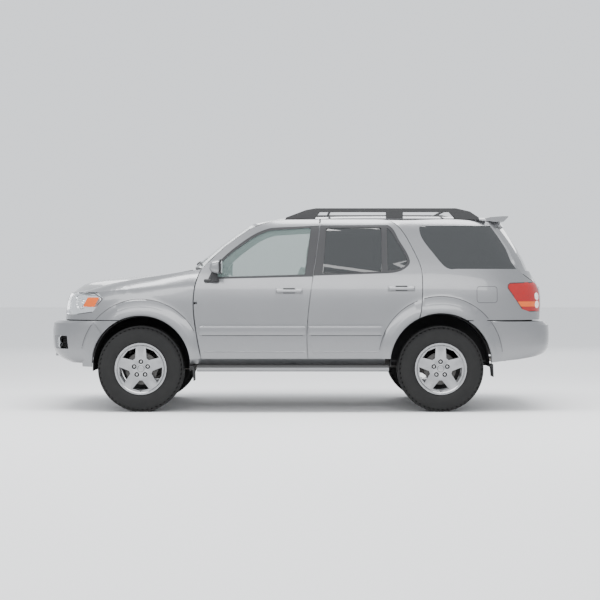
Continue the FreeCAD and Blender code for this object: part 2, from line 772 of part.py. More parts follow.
def pillar_cover():
    """The left windshield pillar's outside, from the glass to just inboard of the front door's edge."""
    edge = [(front_seam_x + 75, 1410), (front_seam_x + 180, 1522), (front_seam_x + 299, 1625),
            (front_seam_x + 420, 1720), (front_seam_x + 543, 1802)]
    door_side, glass_side, glass_inner, door_inner = [], [], [], []
    for i, (x, z) in enumerate(edge):
        before, after = edge[max(i - 1, 0)], edge[min(i + 1, len(edge) - 1)]
        run = math.hypot(after[0] - before[0], after[1] - before[1])
        x, z = x - (after[1] - before[1]) / run * 3, z + (after[0] - before[0]) / run * 3
        side, u = -half_width(z), (z - 1418) / 424
        door_side.append(V(x, side + frame_depth + 6, z))
        glass_side.append(screen_point(u, -1) + V(0, -5, 0))
        glass_inner.append(screen_point(u, -1, 40) + V(0, -5, 0))
        behind = min(side + frame_depth + pillar_gap + 17, glass_side[-1].y - 9)
        door_inner.append(V(x + 24, behind, z - 32))
    return bar_through([door_side, glass_side, glass_inner, door_inner])


def build_body_sides():
    x_front = front_axle_x + arch_radius_front - liner_clearance + seat_gap
    x_back = rear_seam_x + 60
    low = side_skin(LEFT, (x_front, x_back), (470, belt_height + 16), door_depth + pillar_gap, door_depth + pillar_depth)
    high = side_skin(LEFT, (x_front, x_back), (belt_height + 7, 1925), frame_depth + pillar_gap, frame_depth + pillar_depth)
    frame = low.fuse(high)
    back = rear_door_outline()[1]
    outer = [(x_front, 470), (x_front, 1280), (front_seam_x + 64, 1280), (front_seam_x + 70, 1412),
             (front_seam_x + 292, 1632), (front_seam_x + 537, 1810), (front_seam_x + 760, 1893),
             (b_seam_x, 1925), (x_back - 300, 1925), (x_back, 1700), (x_back, 960), (x_back - 90, 960)]
    outline = polygon_runs(outer + [(x_back - 420, 620), (x_back - 420, 470)])
    frame = frame.common(side_prism(LEFT, outline))
    front_opening = polygon_runs([(front_seam_x + 120, 580), (front_seam_x + 60, 1130), (front_seam_x + 120, 1400),
                                  (front_seam_x + 345, 1600), (front_seam_x + 590, 1770),
                                  (front_seam_x + 790, 1840), (b_seam_x + 70, 1858), (b_seam_x + 10, 1380),
                                  (b_seam_x - 50, 868), (b_seam_x - 45, 580)])
    rear_opening = polygon_runs([(b_seam_x + 60, 580), (b_seam_x + 58, 868), (b_seam_x + 118, 1380),
                                 (b_seam_x + 178, 1858), (rear_seam_x - 400, 1856), (rear_seam_x - 262, 1790),
                                 (rear_seam_x - 130, 1570), (rear_seam_x - 52, 1380), (rear_seam_x - 46, 1270),
                                 (rear_seam_x - 60, 1020), (rear_seam_x - 270, 900), (rear_seam_x - 370, 580)])
    frame = frame.cut([side_prism(LEFT, front_opening), side_prism(LEFT, rear_opening), above_roof_lining()])
    pillar = pillar_cover().cut(side_prism(LEFT, polygon_runs([(x_front - 40, 1300), (x_front + 400, 1300),
                                                               (x_front + 400, 1412), (x_front - 40, 1412)])))
    frame = frame.fuse(pillar.cut(above_roof_lining())).cut(shell_between(screen_sheet(-200), screen_sheet(7)))
    wall = half_width(front_hinge[1][0]) - door_depth - pillar_gap - 6
    for strap in hinge_straps(LEFT, front_hinge, wall, 30) + hinge_straps(LEFT, rear_hinge, wall, 22):
        frame = frame.fuse(strap)
    export("body_sides", [frame, mirrored(frame)])


def tailgate_half_width(z):
    return curve((900, 700), (1280, 706), (1345, 772), (1410, 786), (1600, 742), (1800, 688), (1890, 655))(z)


def quarter_outline():
    z_low = bumper_top + panel_gap
    low = arch_angle(arch_radius_rear, arch_rise_rear, z_low)
    door_back = [(x + panel_gap, z) for x, z in rear_door_outline()[1][:-1]]
    start_z = axle_z + arch_rise_rear + math.sqrt(arch_radius_rear**2 - (door_back[-1][0] - rear_axle_x)**2)
    first = (door_back[-1][0] - 6, start_z - 6)
    begin = math.degrees(math.atan2(first[1] - axle_z - arch_rise_rear, first[0] - rear_axle_x))
    arch = [arch_point(rear_axle_x, arch_radius_rear, arch_rise_rear, a) for a in (begin, 90, low)]
    door_back.append(arch[0])
    top = [(door_back[0][0], roof_seam_z + 3), (roof_rear_x - 400, roof_seam_z + 1), (roof_rear_x + 20, 1886),
           (roof_rear_x + 145, 1862), (roof_rear_x + 230, 1800)]
    return [door_back, ("arc", *arch), (arch[2], (past_tail, z_low)), ((past_tail, z_low), (past_tail, 1800)),
            ((past_tail, 1800), top[-1]), top[::-1], (top[0], door_back[0])]


def build_quarters():
    z_low = bumper_top + panel_gap
    body = tail_skin(LEFT, rear_seam_x - 341, 500.0, (z_low - 8, 1905), 0, quarter_depth, 13)
    outline = quarter_outline()
    panel = body.common(side_prism(LEFT, outline))
    seam = [(-tailgate_half_width(z) - panel_gap, z) for z in (880, 1270, 1345, 1410, 1600, 1800, 1890)]
    rear_face = Part.Face(wire_of([seam[:2], seam[1:], (seam[-1], (seam[-1][0], 1950)),
                                   ((seam[-1][0], 1950), (0, 1950)), ((0, 1950), (0, 880)), ((0, 880), seam[0])],
                                  lambda p: V(tail_x - 830, p[0], p[1])))
    panel = panel.cut(rear_face.extrude(V(900, 0, 0)))
    window = quarter_window()
    ledge = tail_skin(LEFT, rear_seam_x - 151, 560.0, (1380, 1860), -6, glass_recess + glass_thickness, 9)
    panel = panel.cut([ledge.common(side_prism(LEFT, window)), side_prism(LEFT, quarter_window(30))])
    lamp = [(tail_x - 484, 1250), (tail_x - 458, 1272), (past_tail, 1288), (past_tail, 985), (tail_x - 260, 985),
            (tail_x - 340, 1012), (tail_x - 484, 1215)]
    lamp_cut = side_prism(LEFT, rounded_runs(lamp, 9))
    housing = tail_skin(LEFT, tail_x - 580, 560.0, (960, 1310), 1.0, 42.0, 8).common(shrunk(lamp_cut, seat_gap)).cut(
        rear_face.extrude(V(900, 0, 0)))
    recess = tail_skin(LEFT, tail_x - 580, 560.0, (950, 1320), -8, 42.5, 8).common(lamp_cut)
    panel = panel.cut(recess)
    flare = flare_band(LEFT, rear_axle_x, *rear_arch, 110)
    panel = panel.fuse(flare.common(side_prism(LEFT, outline)))
    glass = tail_skin(LEFT, rear_seam_x - 151, 560.0, (1380, 1860), 3.0, 3.0 + glass_thickness, 9)
    glass = glass.common(shrunk_prism(LEFT, window, glass_fit)).cut(rear_face.extrude(V(900, 0, 0)))
    export("quarter_panels", [panel, mirrored(panel)])
    export("quarter_glass", [glass, mirrored(glass)])
    export("tail_lamps", [housing, mirrored(housing)])


def tail_sheet(z_range, half, outer, inner, counts=(12, 13)):
    """A slab of the tail between two depths, across the whole width given by half(z)."""
    def point(z, share, depth):
        width, reach = half_width(z) - depth, tail_reach(z) - depth
        return V(plan_x(abs(share) * half(z) / width, reach, tail_power, tail_bow), share * half(z), z)

    def grid(depth):
        rows = []
        for z in spread(*z_range, counts[0]):
            row = [(point(z, s, depth), point(z, s, 0)) for s in spread(-1, 1, counts[1])]
            rows.append([V(max(p.x, surface.x - 1.2 * max(depth, 0)), p.y, z) for p, surface in row])
        return rows
    return shell_between(grid(outer), grid(inner))


def build_tailgate():
    z_low, z_high = bumper_top + 14, 1884.0
    panel = tail_sheet((z_low, z_high), tailgate_half_width, 0, 50, (14, 13))
    glass_half = lambda z: curve((1400, 690), (1800, 620))(z)
    opening = box((tail_x - 730, past_tail), (-900, 900), (1412, 1812)).common(
        tail_sheet((1400, 1830), glass_half, -40, 200, (4, 5)))
    recess = tail_sheet((1390, 1835), lambda z: glass_half(z) + 22, -20, glass_recess + glass_thickness, (5, 7))
    panel = panel.cut([opening, recess])
    glass = tail_sheet((1390, 1835), lambda z: glass_half(z) + 21, glass_recess - 1,
                       glass_recess + glass_thickness - glass_fit, (5, 7))
    glass = glass.common(box((tail_x - 830, past_tail), (-900, 900), (1391, 1834)))
    pad = box((tail_x - 130, tail_x - 66), (-168, 168), (1000, 1168))
    holes = [Part.makeCylinder(3.5, 24, V(tail_x - 88, y, z), V(1, 0, 0))
             for y in (-88.9, 88.9) for z in (1023.7, 1144.3)]
    export("tailgate", panel.fuse(pad).cut(holes))
    export("tailgate_glass", glass)
    stations = [(roof_rear_x + x, top, low) for x, top, low in (
        (30, 1931, 1902), (68, 1938, 1898), (138, 1944, 1886), (198, 1948, 1886), (250, 1948, 1938))]

    def wing(level):
        return [[V(x - 22 * s**2, s * 652, (top if level else low) - (12 if x < roof_rear_x + 38 else 8) * s**2)
                 for s in spread(-1, 1, 9)] for x, top, low in stations]
    wing_solid = shell_between(wing(1), wing(0)).cut(
        box((roof_rear_x - 62, roof_rear_x + 198), (-800, 800), (1700, z_high + seat_gap)))
    x, z = tailgate_hinge
    for y in (-420, 420):
        wing_solid = wing_solid.cut(box((roof_rear_x - 62, x + 8), (y - 36, y + 36), (1800, 2000)))
        wing_solid = wing_solid.fuse(hinge_lugs(x, y, z, ((x, x + 16), (z - 7, z + 7))))
    export("spoiler", wing_solid)


# Bumpers

front_bumper_rows = behind_bumper((bumper_top + 4, 128), (bumper_top - 2, 50), (870, 6), (800, -3), (720, -3),
                                  (640, 0), (578, 14), (520, 68), (474, 158))
rear_bumper_rows = behind_bumper((bumper_top - 2, 130), (bumper_top - 8, 44), (850, 2), (770, -2), (690, -2),
                                 (620, 4), (570, 42), (525, 120), (485, 230))


def bumper(rows, sign, power, bow, x_end, counts=13):
    def line(z, reach, depth):
        run = plan_run(half_width(z) - depth, reach - depth, power, bow, x_end, 0.0, counts)
        left = [V(sign * x, -y, z) for x, y in run[::-1]]
        return left + [V(p.x, -p.y, p.z) for p in left[-2::-1]]
    outside = [line(z, reach, 0) for z, reach in rows]
    inside = [line(z, reach, 30) for z, reach in (rows[-1], rows[-3], rows[2], rows[0])]
    return bar_through(outside + inside)


def both_sides(runs):
    face = Part.Face(wire_of(runs, lambda p: V(p[0], -1300, p[1])))
    return face.extrude(V(0, 2600, 0))


def build_bumpers():
    low = arch_angle(arch_radius_front, arch_rise_front, bumper_top)
    arch = [arch_point(front_axle_x, arch_radius_front, arch_rise_front, a) for a in (180 - low, 150, 180)]
    lid = bumper_top + 30
    outline = [((past_nose, lid), (arch[0][0], lid)), ((arch[0][0], lid), arch[0]), ("arc", *arch),
               (arch[2], (arch[2][0], 440)), ((arch[2][0], 440), (past_nose, 440)), ((past_nose, 440), (past_nose, lid))]
    prism = both_sides(outline)
    shell = bumper(front_bumper_rows, -1, nose_power, nose_bow, -nose_x - 790)
    below = box((past_nose, nose_x + 1030), (-1300, 1300), (300, bumper_top))
    flare = flare_band(LEFT, front_axle_x, *front_arch, 84).common(prism).common(below)
    whole = shell.common(prism).cut(
        box((nose_x + 220, nose_x + 1030), (-1300, 1300), (bumper_top, 1000)))
    whole = whole.fuse([flare, mirrored(flare)])
    fog = [box((nose_x - 70, nose_x + 230), sorted((s * 640, s * 800)), (615, 745)) for s in (LEFT, RIGHT)]
    intake = box((nose_x - 70, nose_x + 230), (-430, 430), (600, 730))
    whole = whole.cut(fog + [intake])
    for s in (LEFT, RIGHT):
        whole = whole.fuse(box((nose_x + 45, nose_x + 200), sorted((s * 385, s * 448)), (530, 580)))
    export("front_bumper", whole)

    low = arch_angle(arch_radius_rear, arch_rise_rear, bumper_top)
    arch = [arch_point(rear_axle_x, arch_radius_rear, arch_rise_rear, a) for a in (low, 30, 0)]
    sweep = [(arch[2][0], 488), (tail_x - 380, 512), (tail_x - 80, 556), (past_tail, 556), (past_tail, lid)]
    outline = [((past_tail, lid), (arch[0][0], lid)), ((arch[0][0], lid), arch[0]), ("arc", *arch),
               (arch[2], sweep[0])] + list(zip(sweep, sweep[1:]))
    prism = both_sides(outline)
    shell = bumper(rear_bumper_rows, 1, tail_power, tail_bow, tail_x - 750)
    flare = flare_band(LEFT, rear_axle_x, *rear_arch, 110).common(prism).common(
        box((tail_x - 1030, past_tail), (-1300, 1300), (300, bumper_top)))
    whole = shell.common(prism).cut(
        box((tail_x - 1030, tail_x - 200), (-1300, 1300), (bumper_top, 1000)))
    whole = whole.fuse([flare, mirrored(flare)])
    for s in (LEFT, RIGHT):
        whole = whole.fuse(box((tail_x - 130, tail_x - 30), sorted((s * 432, s * 500)), (600, 670)))
    export("rear_bumper", whole)


def build_grille():
    top = hood_lip_z(0) - 16 * 0.9 - panel_gap + 1
    rows = ((bumper_top + 4, 455), (1000, 455), (1080, 455), (top, 440))

    def grid(depth):
        return [[V(-plan_x(abs(y) / half_width(z), nose_reach(z) - depth, nose_power, nose_bow), y, z)
                 for y in spread(-half, half, 9)] for z, half in rows]
    frame = shell_between(grid(6), grid(50))
    slots = [box((past_nose, nose_x + 194), (-410, 410), (z, z + 26)) for z in spread(940, top - 51, 5)]
    export("grille", frame.cut(slots))


# Wheels, with the axle along Y

wheel_facets = 40


def revolved(profile, count=wheel_facets):
    """A faceted ring about Y from an (offset along Y, radius) outline that stays off the axis."""
    def place(y, r, step):
        a = 2 * math.pi * (step + 0.5) / count
        return V(r * math.sin(a), y, r * math.cos(a))
    faces = []
    for i in range(len(profile)):
        (y0, r0), (y1, r1) = profile[i - 1], profile[i]
        for k in range(count):
            ring = [place(y0, r0, k), place(y0, r0, k + 1), place(y1, r1, k + 1), place(y1, r1, k)]
            faces.append(Part.Face(Part.makePolygon(ring + [ring[0]])))
    return closed_solid(faces)


def build_wheel():
    r, w, bead, h = tyre_diameter / 2, tyre_width / 2, rim_diameter / 2, rim_width / 2
    bore, drop = bead - 15, bead - 38
    tyre = revolved([(-h + 12.6, bore), (-h + 8.4, bead), (-w, bead + 62), (-w + 14, r - 34), (-w + 42, r),
                     (w - 42, r), (w - 14, r - 34), (w, bead + 62), (h - 8.4, bead), (h - 12.6, bore)])
    barrel = revolved([(-h, bead), (-h, bead - 16), (-h + 30, drop), (h, drop), (h, bead), (h - 8, bead),
                       (h - 12.3, bore - seat_gap), (-h + 12.3, bore - seat_gap), (-h + 8, bead)])
    face = revolved([(-h + 12, drop + 10), (-h + 26, 112), (-h + 26, 16), (-h + 80, 16), (-h + 80, 90),
                     (-h + 44, 118), (-h + 36, drop + 10)])
    cap = Part.makeCylinder(30, 34, V(0, -h + 20, 0), V(0, 1, 0))
    half = 49.0
    windows = []
    for k in range(spoke_count):
        a = 2 * math.pi * (k + 0.5) / spoke_count
        beta = math.asin(half / 212.0)
        gap = math.pi / spoke_count
        corners = [(a - 0.13, 116), (a + 0.13, 116), (a + gap - beta, 212), (a, 217), (a - gap + beta, 212)]
        points = [(radius * math.sin(angle), radius * math.cos(angle)) for angle, radius in corners]
        wire = wire_of(polygon_runs(points), lambda p: V(p[0], -h - 40, p[1]))
        windows.append(Part.Face(wire).extrude(V(0, 2 * h, 0)))
    pockets, nuts = [], []
    for k in range(stud_count):
        a = 2 * math.pi * k / stud_count
        x, z = stud_circle / 2 * math.sin(a), stud_circle / 2 * math.cos(a)
        pockets.append(Part.makeCylinder(23, 26, V(x, -h + 20, z), V(0, 1, 0)))
        nuts.append(Part.makeCylinder(11, 24, V(x, -h + 30, z), V(0, 1, 0)))
    rotor = revolved([(-h + 80, 16), (-h + 80, 160), (-h + 100, 160), (-h + 100, 16)])
    rim = barrel.fuse(face.cut(windows + pockets)).fuse(rotor)
    return tyre, rim.fuse(nuts + [cap])


hub_y = track_half + rim_width / 2 - 100 - seat_gap


def build_wheels():
    tyre, rim = build_wheel()
    for place, x in (("front", front_axle_x), ("rear", rear_axle_x)):
        for name, side in SIDES:
            for part, shape in (("tyre", tyre), ("wheel", rim)):
                solid = shape.copy() if side == LEFT else mirrored(shape)
                solid.translate(V(x, side * track_half, axle_z))
                export(f"{part}_{place}_{name}", solid)


# Running gear

rail_low, rail_high = 410.0, 545.0
floor_low, rear_floor_low = 562.0, 760.0
floor_thickness = 12.0
arm_heights = (300.0, 560.0)
arm_thickness = (26.0, 20.0)


def build_chassis():
    parts = []
    front_step = front_axle_x + 716
    for side in (LEFT, RIGHT):
        front = sorted((side * 385, side * 448))
        rear = sorted((side * 432, side * 500))
        raised = polygon_runs([(nose_x + 200, 510), (nose_x + 420, 510), (nose_x + 530, rail_low),
                               (front_step, rail_low), (front_step, rail_high), (nose_x + 530, rail_high),
                               (nose_x + 420, 620), (nose_x + 200, 620)])
        face = Part.Face(wire_of(raised, lambda p: V(p[0], front[0], p[1])))
        parts.append(face.extrude(V(0, front[1] - front[0], 0)))
        parts.append(box((front_step - 100, rear_axle_x - 364), rear, (rail_low, rail_high)))
        parts.append(box((front_step - 100, front_step), sorted((side * 385, side * 500)), (rail_low, rail_high)))
        kick = polygon_runs([(rear_axle_x - 424, rail_low), (rear_axle_x - 244, 540), (rear_axle_x + 256, 540),
                             (rear_axle_x + 376, 560), (tail_x - 150, 560), (tail_x - 150, 680),
                             (rear_axle_x - 244, 680), (rear_axle_x - 424, rail_high)])
        face = Part.Face(wire_of(kick, lambda p: V(p[0], rear[0], p[1])))
        parts.append(face.extrude(V(0, rear[1] - rear[0], 0)))
    parts.append(box((nose_x + 230, nose_x + 300), (-448, 448), (520, 600)))
    for x, half in ((-1000, 440), (-200, 480), (700, 480)):
        parts.append(box((x, x + 70), (-half, half), (rail_low, rail_low + 40)))
    parts.append(box((tail_x - 190, tail_x - 130), (-620, 620), (580, 680)))
    for side in (LEFT, RIGHT):
        parts.append(box((-640, -560), sorted((side * 441, side * 491)), (rail_low - 8, rail_low)))
        for x in (-800, 0, 800):
            parts.append(box((x, x + 60), sorted((side * 436, side * 496)), (rail_high - 5, floor_low)))
        for x in (rear_axle_x - 84, rear_axle_x + 316, tail_x - 250):
            parts.append(box((x, x + 60), sorted((side * 436, side * 496)), (675, rear_floor_low)))
    export("chassis_frame", fused(parts))


def rod(start, end, radius):
    a, b = V(*start), V(*end)
    return Part.makeCylinder(radius, (b - a).Length, a, b - a)


def build_running_gear():
    axle = rod((rear_axle_x, -hub_y, axle_z), (rear_axle_x, hub_y, axle_z), 42)
    ball = rod((rear_axle_x, -60, axle_z), (rear_axle_x, 120, axle_z), 140)
    pinion = rod((rear_axle_x - 240, 40, 480), (rear_axle_x, 40, 440), 62)
    springs = [rod((rear_axle_x, s * 466, axle_z), (rear_axle_x, s * 466, 540), 28) for s in (LEFT, RIGHT)]
    axle = axle.fuse([ball, pinion] + springs)
    export("rear_axle", axle.cut(box((rear_axle_x - 484, pinion_x), (-100, 200), (300, 640))))
    arms = []
    for side in (LEFT, RIGHT):
        for z, thick in zip(arm_heights, arm_thickness):
            arm = polygon_plate([(front_axle_x - 150, side * 380), (front_axle_x + 150, side * 380),
                                 (front_axle_x + 25, side * kingpin_y), (front_axle_x - 25, side * kingpin_y)],
                                z, thick)
            arms.append(arm.fuse(Part.makeCylinder(26, thick, V(front_axle_x, side * kingpin_y, z))))
    cradle = box((front_axle_x - 170, front_axle_x + 170), (-384, 384), (290, 390))
    towers = [box((front_axle_x - 160, front_axle_x + 160), sorted((s * 320, s * 385)), (380, 640))
              for s in (LEFT, RIGHT)]
    export("front_suspension", fused([cradle] + arms + towers))
    for name, side in SIDES:
        low, high = arm_heights[0] + arm_thickness[0] + seat_gap, arm_heights[1] - seat_gap
        upright = box((front_axle_x - 28, front_axle_x + 28),
                      sorted((side * (kingpin_y - 28), side * (kingpin_y + 28))), (low, high))
        stub = rod((front_axle_x, side * kingpin_y, axle_z), (front_axle_x, side * hub_y, axle_z), 34)
        export(f"knuckle_{name}", upright.fuse(stub))


pinion_x = rear_axle_x - 230.0


def polygon_plate(points, z, thickness):
    wire = Part.makePolygon([V(x, y, z) for x, y in points + [points[0]]])
    return Part.Face(wire).extrude(V(0, 0, thickness))


def build_engine_bay():
    block = box((front_axle_x - 494, front_axle_x + 166), (-300, 300), (660, 1120))
    gearbox_z = rail_low + 40 + 130 + seat_gap
    gearbox = rod((front_axle_x + 146, 0, gearbox_z), (front_axle_x + 1066, 0, gearbox_z), 130)
    shaft = rod((front_axle_x + 1046, 0, gearbox_z - 66), (pinion_x + 40, 40, 480), 34)
    mounts = [box((front_axle_x - 284, front_axle_x - 194), sorted((s * 290, s * 440)), (rail_high, 700)) for s in (LEFT, RIGHT)]
    drive = fused([block, gearbox, shaft] + mounts)
    export("powertrain", drive.cut(box((pinion_x, pinion_x + 200), (-100, 200), (300, 700))))
    export("radiator", box((nose_x + 280, nose_x + 340), (-380, 380), (600, 1130)))
    front_x, rear_x = front_axle_x, rear_axle_x
    route = [(front_x + 166, 230, 720), (front_x + 236, 230, 720), (front_x + 276, 300, 372), (rear_x - 484, 300, 372),
             (rear_x - 214, 300, 512), (rear_x + 46, 300, 512), (rear_x + 256, 466, 466), (tail_x - 570, 600, 440),
             (tail_x - 270, 620, 440)]
    pipes = [rod(a, b, 28) for a, b in zip(route, route[1:])]
    joints = [Part.makeSphere(28, V(*p)) for p in route[1:-1]]
    silencer = rod((100, 300, 372), (620, 300, 372), 50)
    hangers = [box((x + 25, x + 45), (290, 310), (380, rail_low)) for x in (-1000, -200, 700)]
    export("exhaust", fused(pipes + joints + [silencer] + hangers))
    export("fuel_tank", box((-60, 640), (-432, -160), (385, 530)))
    spare = Part.makeCylinder(tyre_diameter / 2 - 4, 195, V(tail_x - 630, 0, 540))
    export("spare_wheel", spare.fuse(Part.makeCylinder(40, rear_floor_low - 730, V(tail_x - 630, 0, 730))))


# Arches, boards and flaps

def build_liners():
    liners = []
    for axle_x, radius, rise, y_in, y_out, leg, slot in (
            (front_axle_x, arch_radius_front - liner_clearance, arch_rise_front, 458, 868, 400, (170, 640)),
            (rear_axle_x, arch_radius_rear - liner_clearance, arch_rise_rear, 600, 850, 440, (60, 480))):
        def arch_face(r, y):
            p = [arch_point(axle_x, r, rise, a) for a in (180, 90, 0)]
            runs = [("arc", *p), (p[2], (p[2][0], leg)), ((p[2][0], leg), (p[0][0], leg)), ((p[0][0], leg), p[0])]
            return Part.Face(wire_of(runs, lambda q: V(q[0], y, q[1])))
        outside = arch_face(radius, -y_out).extrude(V(0, y_out - y_in, 0))
        hollow = arch_face(radius - 5, -y_out - 5).extrude(V(0, y_out - y_in, 0))
        hollow = hollow.fuse(box((axle_x - radius + 5, axle_x + radius - 5), (-y_out - 5, -y_in - 5),
                                 (leg - 20, leg + 60)))
        window = box((axle_x - slot[0], axle_x + slot[0]), (-y_in - 10, -y_in + 10), (leg - 20, slot[1]))
        liner = outside.cut([hollow, window])
        liners += [liner, mirrored(liner)]
    export("wheel_liners", liners)


def build_outside_trim():
    boards = []
    for side in (LEFT, RIGHT):
        section = [(868, 470), (990, 462), (1010, 440), (1006, 410), (985, 402), (868, 430)]
        wire = Part.makePolygon([V(-1010, side * y, z) for y, z in section + [section[0]]])
        board = Part.Face(wire).extrude(V(1880, 0, 0))
        brackets = [box((x, x + 60), sorted((side * 500, side * 880)), (434, 466)) for x in (-900, -100, 760)]
        boards.append(board.fuse(brackets))
    export("running_boards", boards)
    flaps = []
    for side in (LEFT, RIGHT):
        front_back = front_axle_x + arch_radius_front - liner_clearance
        rear_back = rear_axle_x + arch_radius_rear - liner_clearance
        front = [(front_back, 455), (front_back, 428)] + [
            (front_axle_x + x, z) for x, z in ((510, 420), (520, 307), (530, 307), (526, 455))]
        rear = [(rear_back, 472), (rear_back, 445)] + [
            (rear_axle_x + x, z) for x, z in ((500, 436), (509, 346), (519, 346), (514, 472))]
        for outline in (front, rear):
            near = sorted((side * 780, side * 945))
            face = Part.Face(wire_of(polygon_runs(outline), lambda p: V(p[0], near[0], p[1])))
            flaps.append(face.extrude(V(0, near[1] - near[0], 0)))
    export("mud_flaps", flaps)
    rails = []
    for side in (LEFT, RIGHT):
        y0, y1 = sorted((side * 650, side * 694))
        low, high = roof_seam_z - 4, rack_height - 40
        start, end = roof_front_x + 350, roof_rear_x - 67
        path = [(start, low), (start + 10, low + 25), (start + 210, rack_height - 18), (start + 310, rack_height),
                (end - 235, rack_height), (end - 95, rack_height - 33), (end - 5, low + 25), (end, low),
                (end - 235, low), (end - 305, high), (end - 765, high), (end - 765, low), (end - 935, low),
                (end - 935, high), (start + 350, high), (start + 290, low)]
        rails.append(Part.Face(wire_of(polygon_runs(path), lambda p: V(p[0], y0, p[1]))).extrude(V(0, y1 - y0, 0)))
    bars = [rod((x, -660, rack_height - 24), (x, 660, rack_height - 24), 13) for x in (300, 1450)]
    export("roof_rack", fused(rails + bars).cut(under_roof()))


def under_roof():
    """Everything lower than the roof's outer surface, to seat what stands on it."""
    high = roof_sheet(0, 0, seat_gap)
    low = [[V(p.x, p.y, 1000) for p in row] for row in high]
    return shell_between(high, low)


# Cabin

tunnel_end, tunnel_top = -460.0, 724.0
steering_hub = (-610.0, -420.0, 1150.0)


def build_cabin():
    sill = half_width(floor_low) - door_depth - pillar_depth - seat_gap
    top, rear_top = floor_low + floor_thickness, rear_floor_low + floor_thickness
    wheelhouse = rear_axle_x + arch_radius_rear - liner_clearance
    floor = [box((-1085, 890), (-sill, sill), (floor_low, top)), box((878, 890), (-sill, sill), (floor_low, rear_top)),
             box((878, tail_x - 170), (-600, 600), (rear_floor_low, rear_top)),
             box((wheelhouse, tail_x - 170), (-700, 700), (rear_floor_low, rear_top)),
             box((-1085, tunnel_end), (-165, 165), (floor_low, tunnel_top))]
    wall = [(min(800, half_width(z) - door_depth - pillar_depth - seat_gap), z) for z in (floor_low, 1170, 1250, 1330)]
    wall = polygon_runs(wall + [(-y, z) for y, z in wall[::-1]])
    floor.append(Part.Face(wire_of(wall, lambda p: V(-1085, p[0], p[1]))).extrude(V(12, 0, 0)))
    hollow = box((-1100, tunnel_end - 12), (-153, 153), (floor_low - 20, tunnel_top - 12))
    export("floor_pan", fused(floor).cut(hollow))
    dash = both_sides(rounded_runs([(-1073, 1000), (-760, 960), (-700, 1060), (-760, 1240), (-1073, 1322)], 30))
    dash = dash.common(box((-1073, 0), (-740, 740), (800, 1400)))
    wheel_centre, turn_axis = V(*steering_hub), V(math.sin(math.radians(65)), 0, math.cos(math.radians(65)))
    near, far = wheel_centre - turn_axis * (20 + seat_gap), wheel_centre - turn_axis * 150
    export("dashboard", dash.fuse(Part.makeCylinder(34, (far - near).Length, far, turn_axis)))

    def seat(x, y0, y1, floor_z, lean, cushion_z, top_z):
        """A seat in side view: x is where the cushion meets the back."""
        back = x + lean * (top_z - cushion_z)
        outline = [(x - 470, cushion_z - 150), (x - 480, cushion_z + 20), (x, cushion_z), (back, top_z - 180),
                   (back + 30, top_z), (back + 115, top_z), (back + 120, top_z - 200), (x + 130, cushion_z - 150)]
        wire = wire_of(rounded_runs(outline, 24), lambda p: V(p[0], y0, p[1]))
        cushion = Part.Face(wire).extrude(V(0, y1 - y0, 0))
        stand = box((x - 420, x + 60), (y0 + 60, y1 - 60), (floor_z, cushion_z - 145))
        return cushion.fuse(stand)
    export("front_seats", [seat(-170, y0, y0 + 500, top, 0.26, 874, 1660) for y0 in (-680, 180)])
    export("second_row_seat", seat(738, -640, 640, top, 0.22, 880, 1640))
    export("third_row_seat", seat(rear_axle_x + 316, -560, 560, rear_top, 0.2, 1060, 1560))
    section = [(16 * math.sin(a), 188 + 16 * math.cos(a)) for a in spread(0, 2 * math.pi, 7)[:-1]]
    rim = revolved(section, 24)
    rim.rotate(V(0, 0, 0), V(1, 0, 0), 90)
    ring = rim.fuse([box((-184, 184), (-14, 14), (-10, 10)), Part.makeCylinder(52, 40, V(0, 0, -20))])
    ring.rotate(V(0, 0, 0), V(0, 1, 0), 65)
    ring.translate(V(*steering_hub))
    export("steering_wheel", ring)
    for name, side in SIDES:
        y0, y1 = sorted((side * 960, side * 1160))
        housing = box((-880, -760), (y0, y1), (1350, 1500))
        foot = box((-890, -840), sorted((side * 880, side * 990)), (1276, 1303))
        neck = box((-890, -840), sorted((side * 962, side * 990)), (1276, 1360))
        mirror = housing.fuse([foot, neck]).cut(side_skin(side, (-1000, -600), (1250, 1520), -seat_gap, 60))
        export(f"mirror_{name}", mirror)
    blades = []
    for start in (-0.82, -0.02):
        shares = spread(start, start + 0.66, 6)
        heights = [0.03 + 0.05 * math.sin(math.pi * (s - start) / 0.66) for s in shares]
        blades.append(bar_through([[screen_point(u + dh, s, depth) for u, s in zip(heights, shares)]
                                   for dh, depth in ((0, -0.6), (0.028, -0.6), (0.02, -14), (0.008, -14))]))
    export("wipers", blades)


if __name__ == "__main__":
    os.makedirs("parts", exist_ok=True)
    build_doors()
    build_roof()
    build_hood()
    build_fenders()
    build_windshield()
    build_body_sides()
    build_quarters()
    build_tailgate()
    build_bumpers()
    build_grille()
    build_wheels()
    build_chassis()
    build_running_gear()
    build_engine_bay()
    build_liners()
    build_outside_trim()
    build_cabin()
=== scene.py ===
"""The looks of a full-size sport utility vehicle, piece by piece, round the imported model."""
import json
import math

import bmesh
import bpy
import numpy as np
from mathutils import Matrix, Vector
from mathutils.bvhtree import BVHTree
from mathutils.kdtree import KDTree


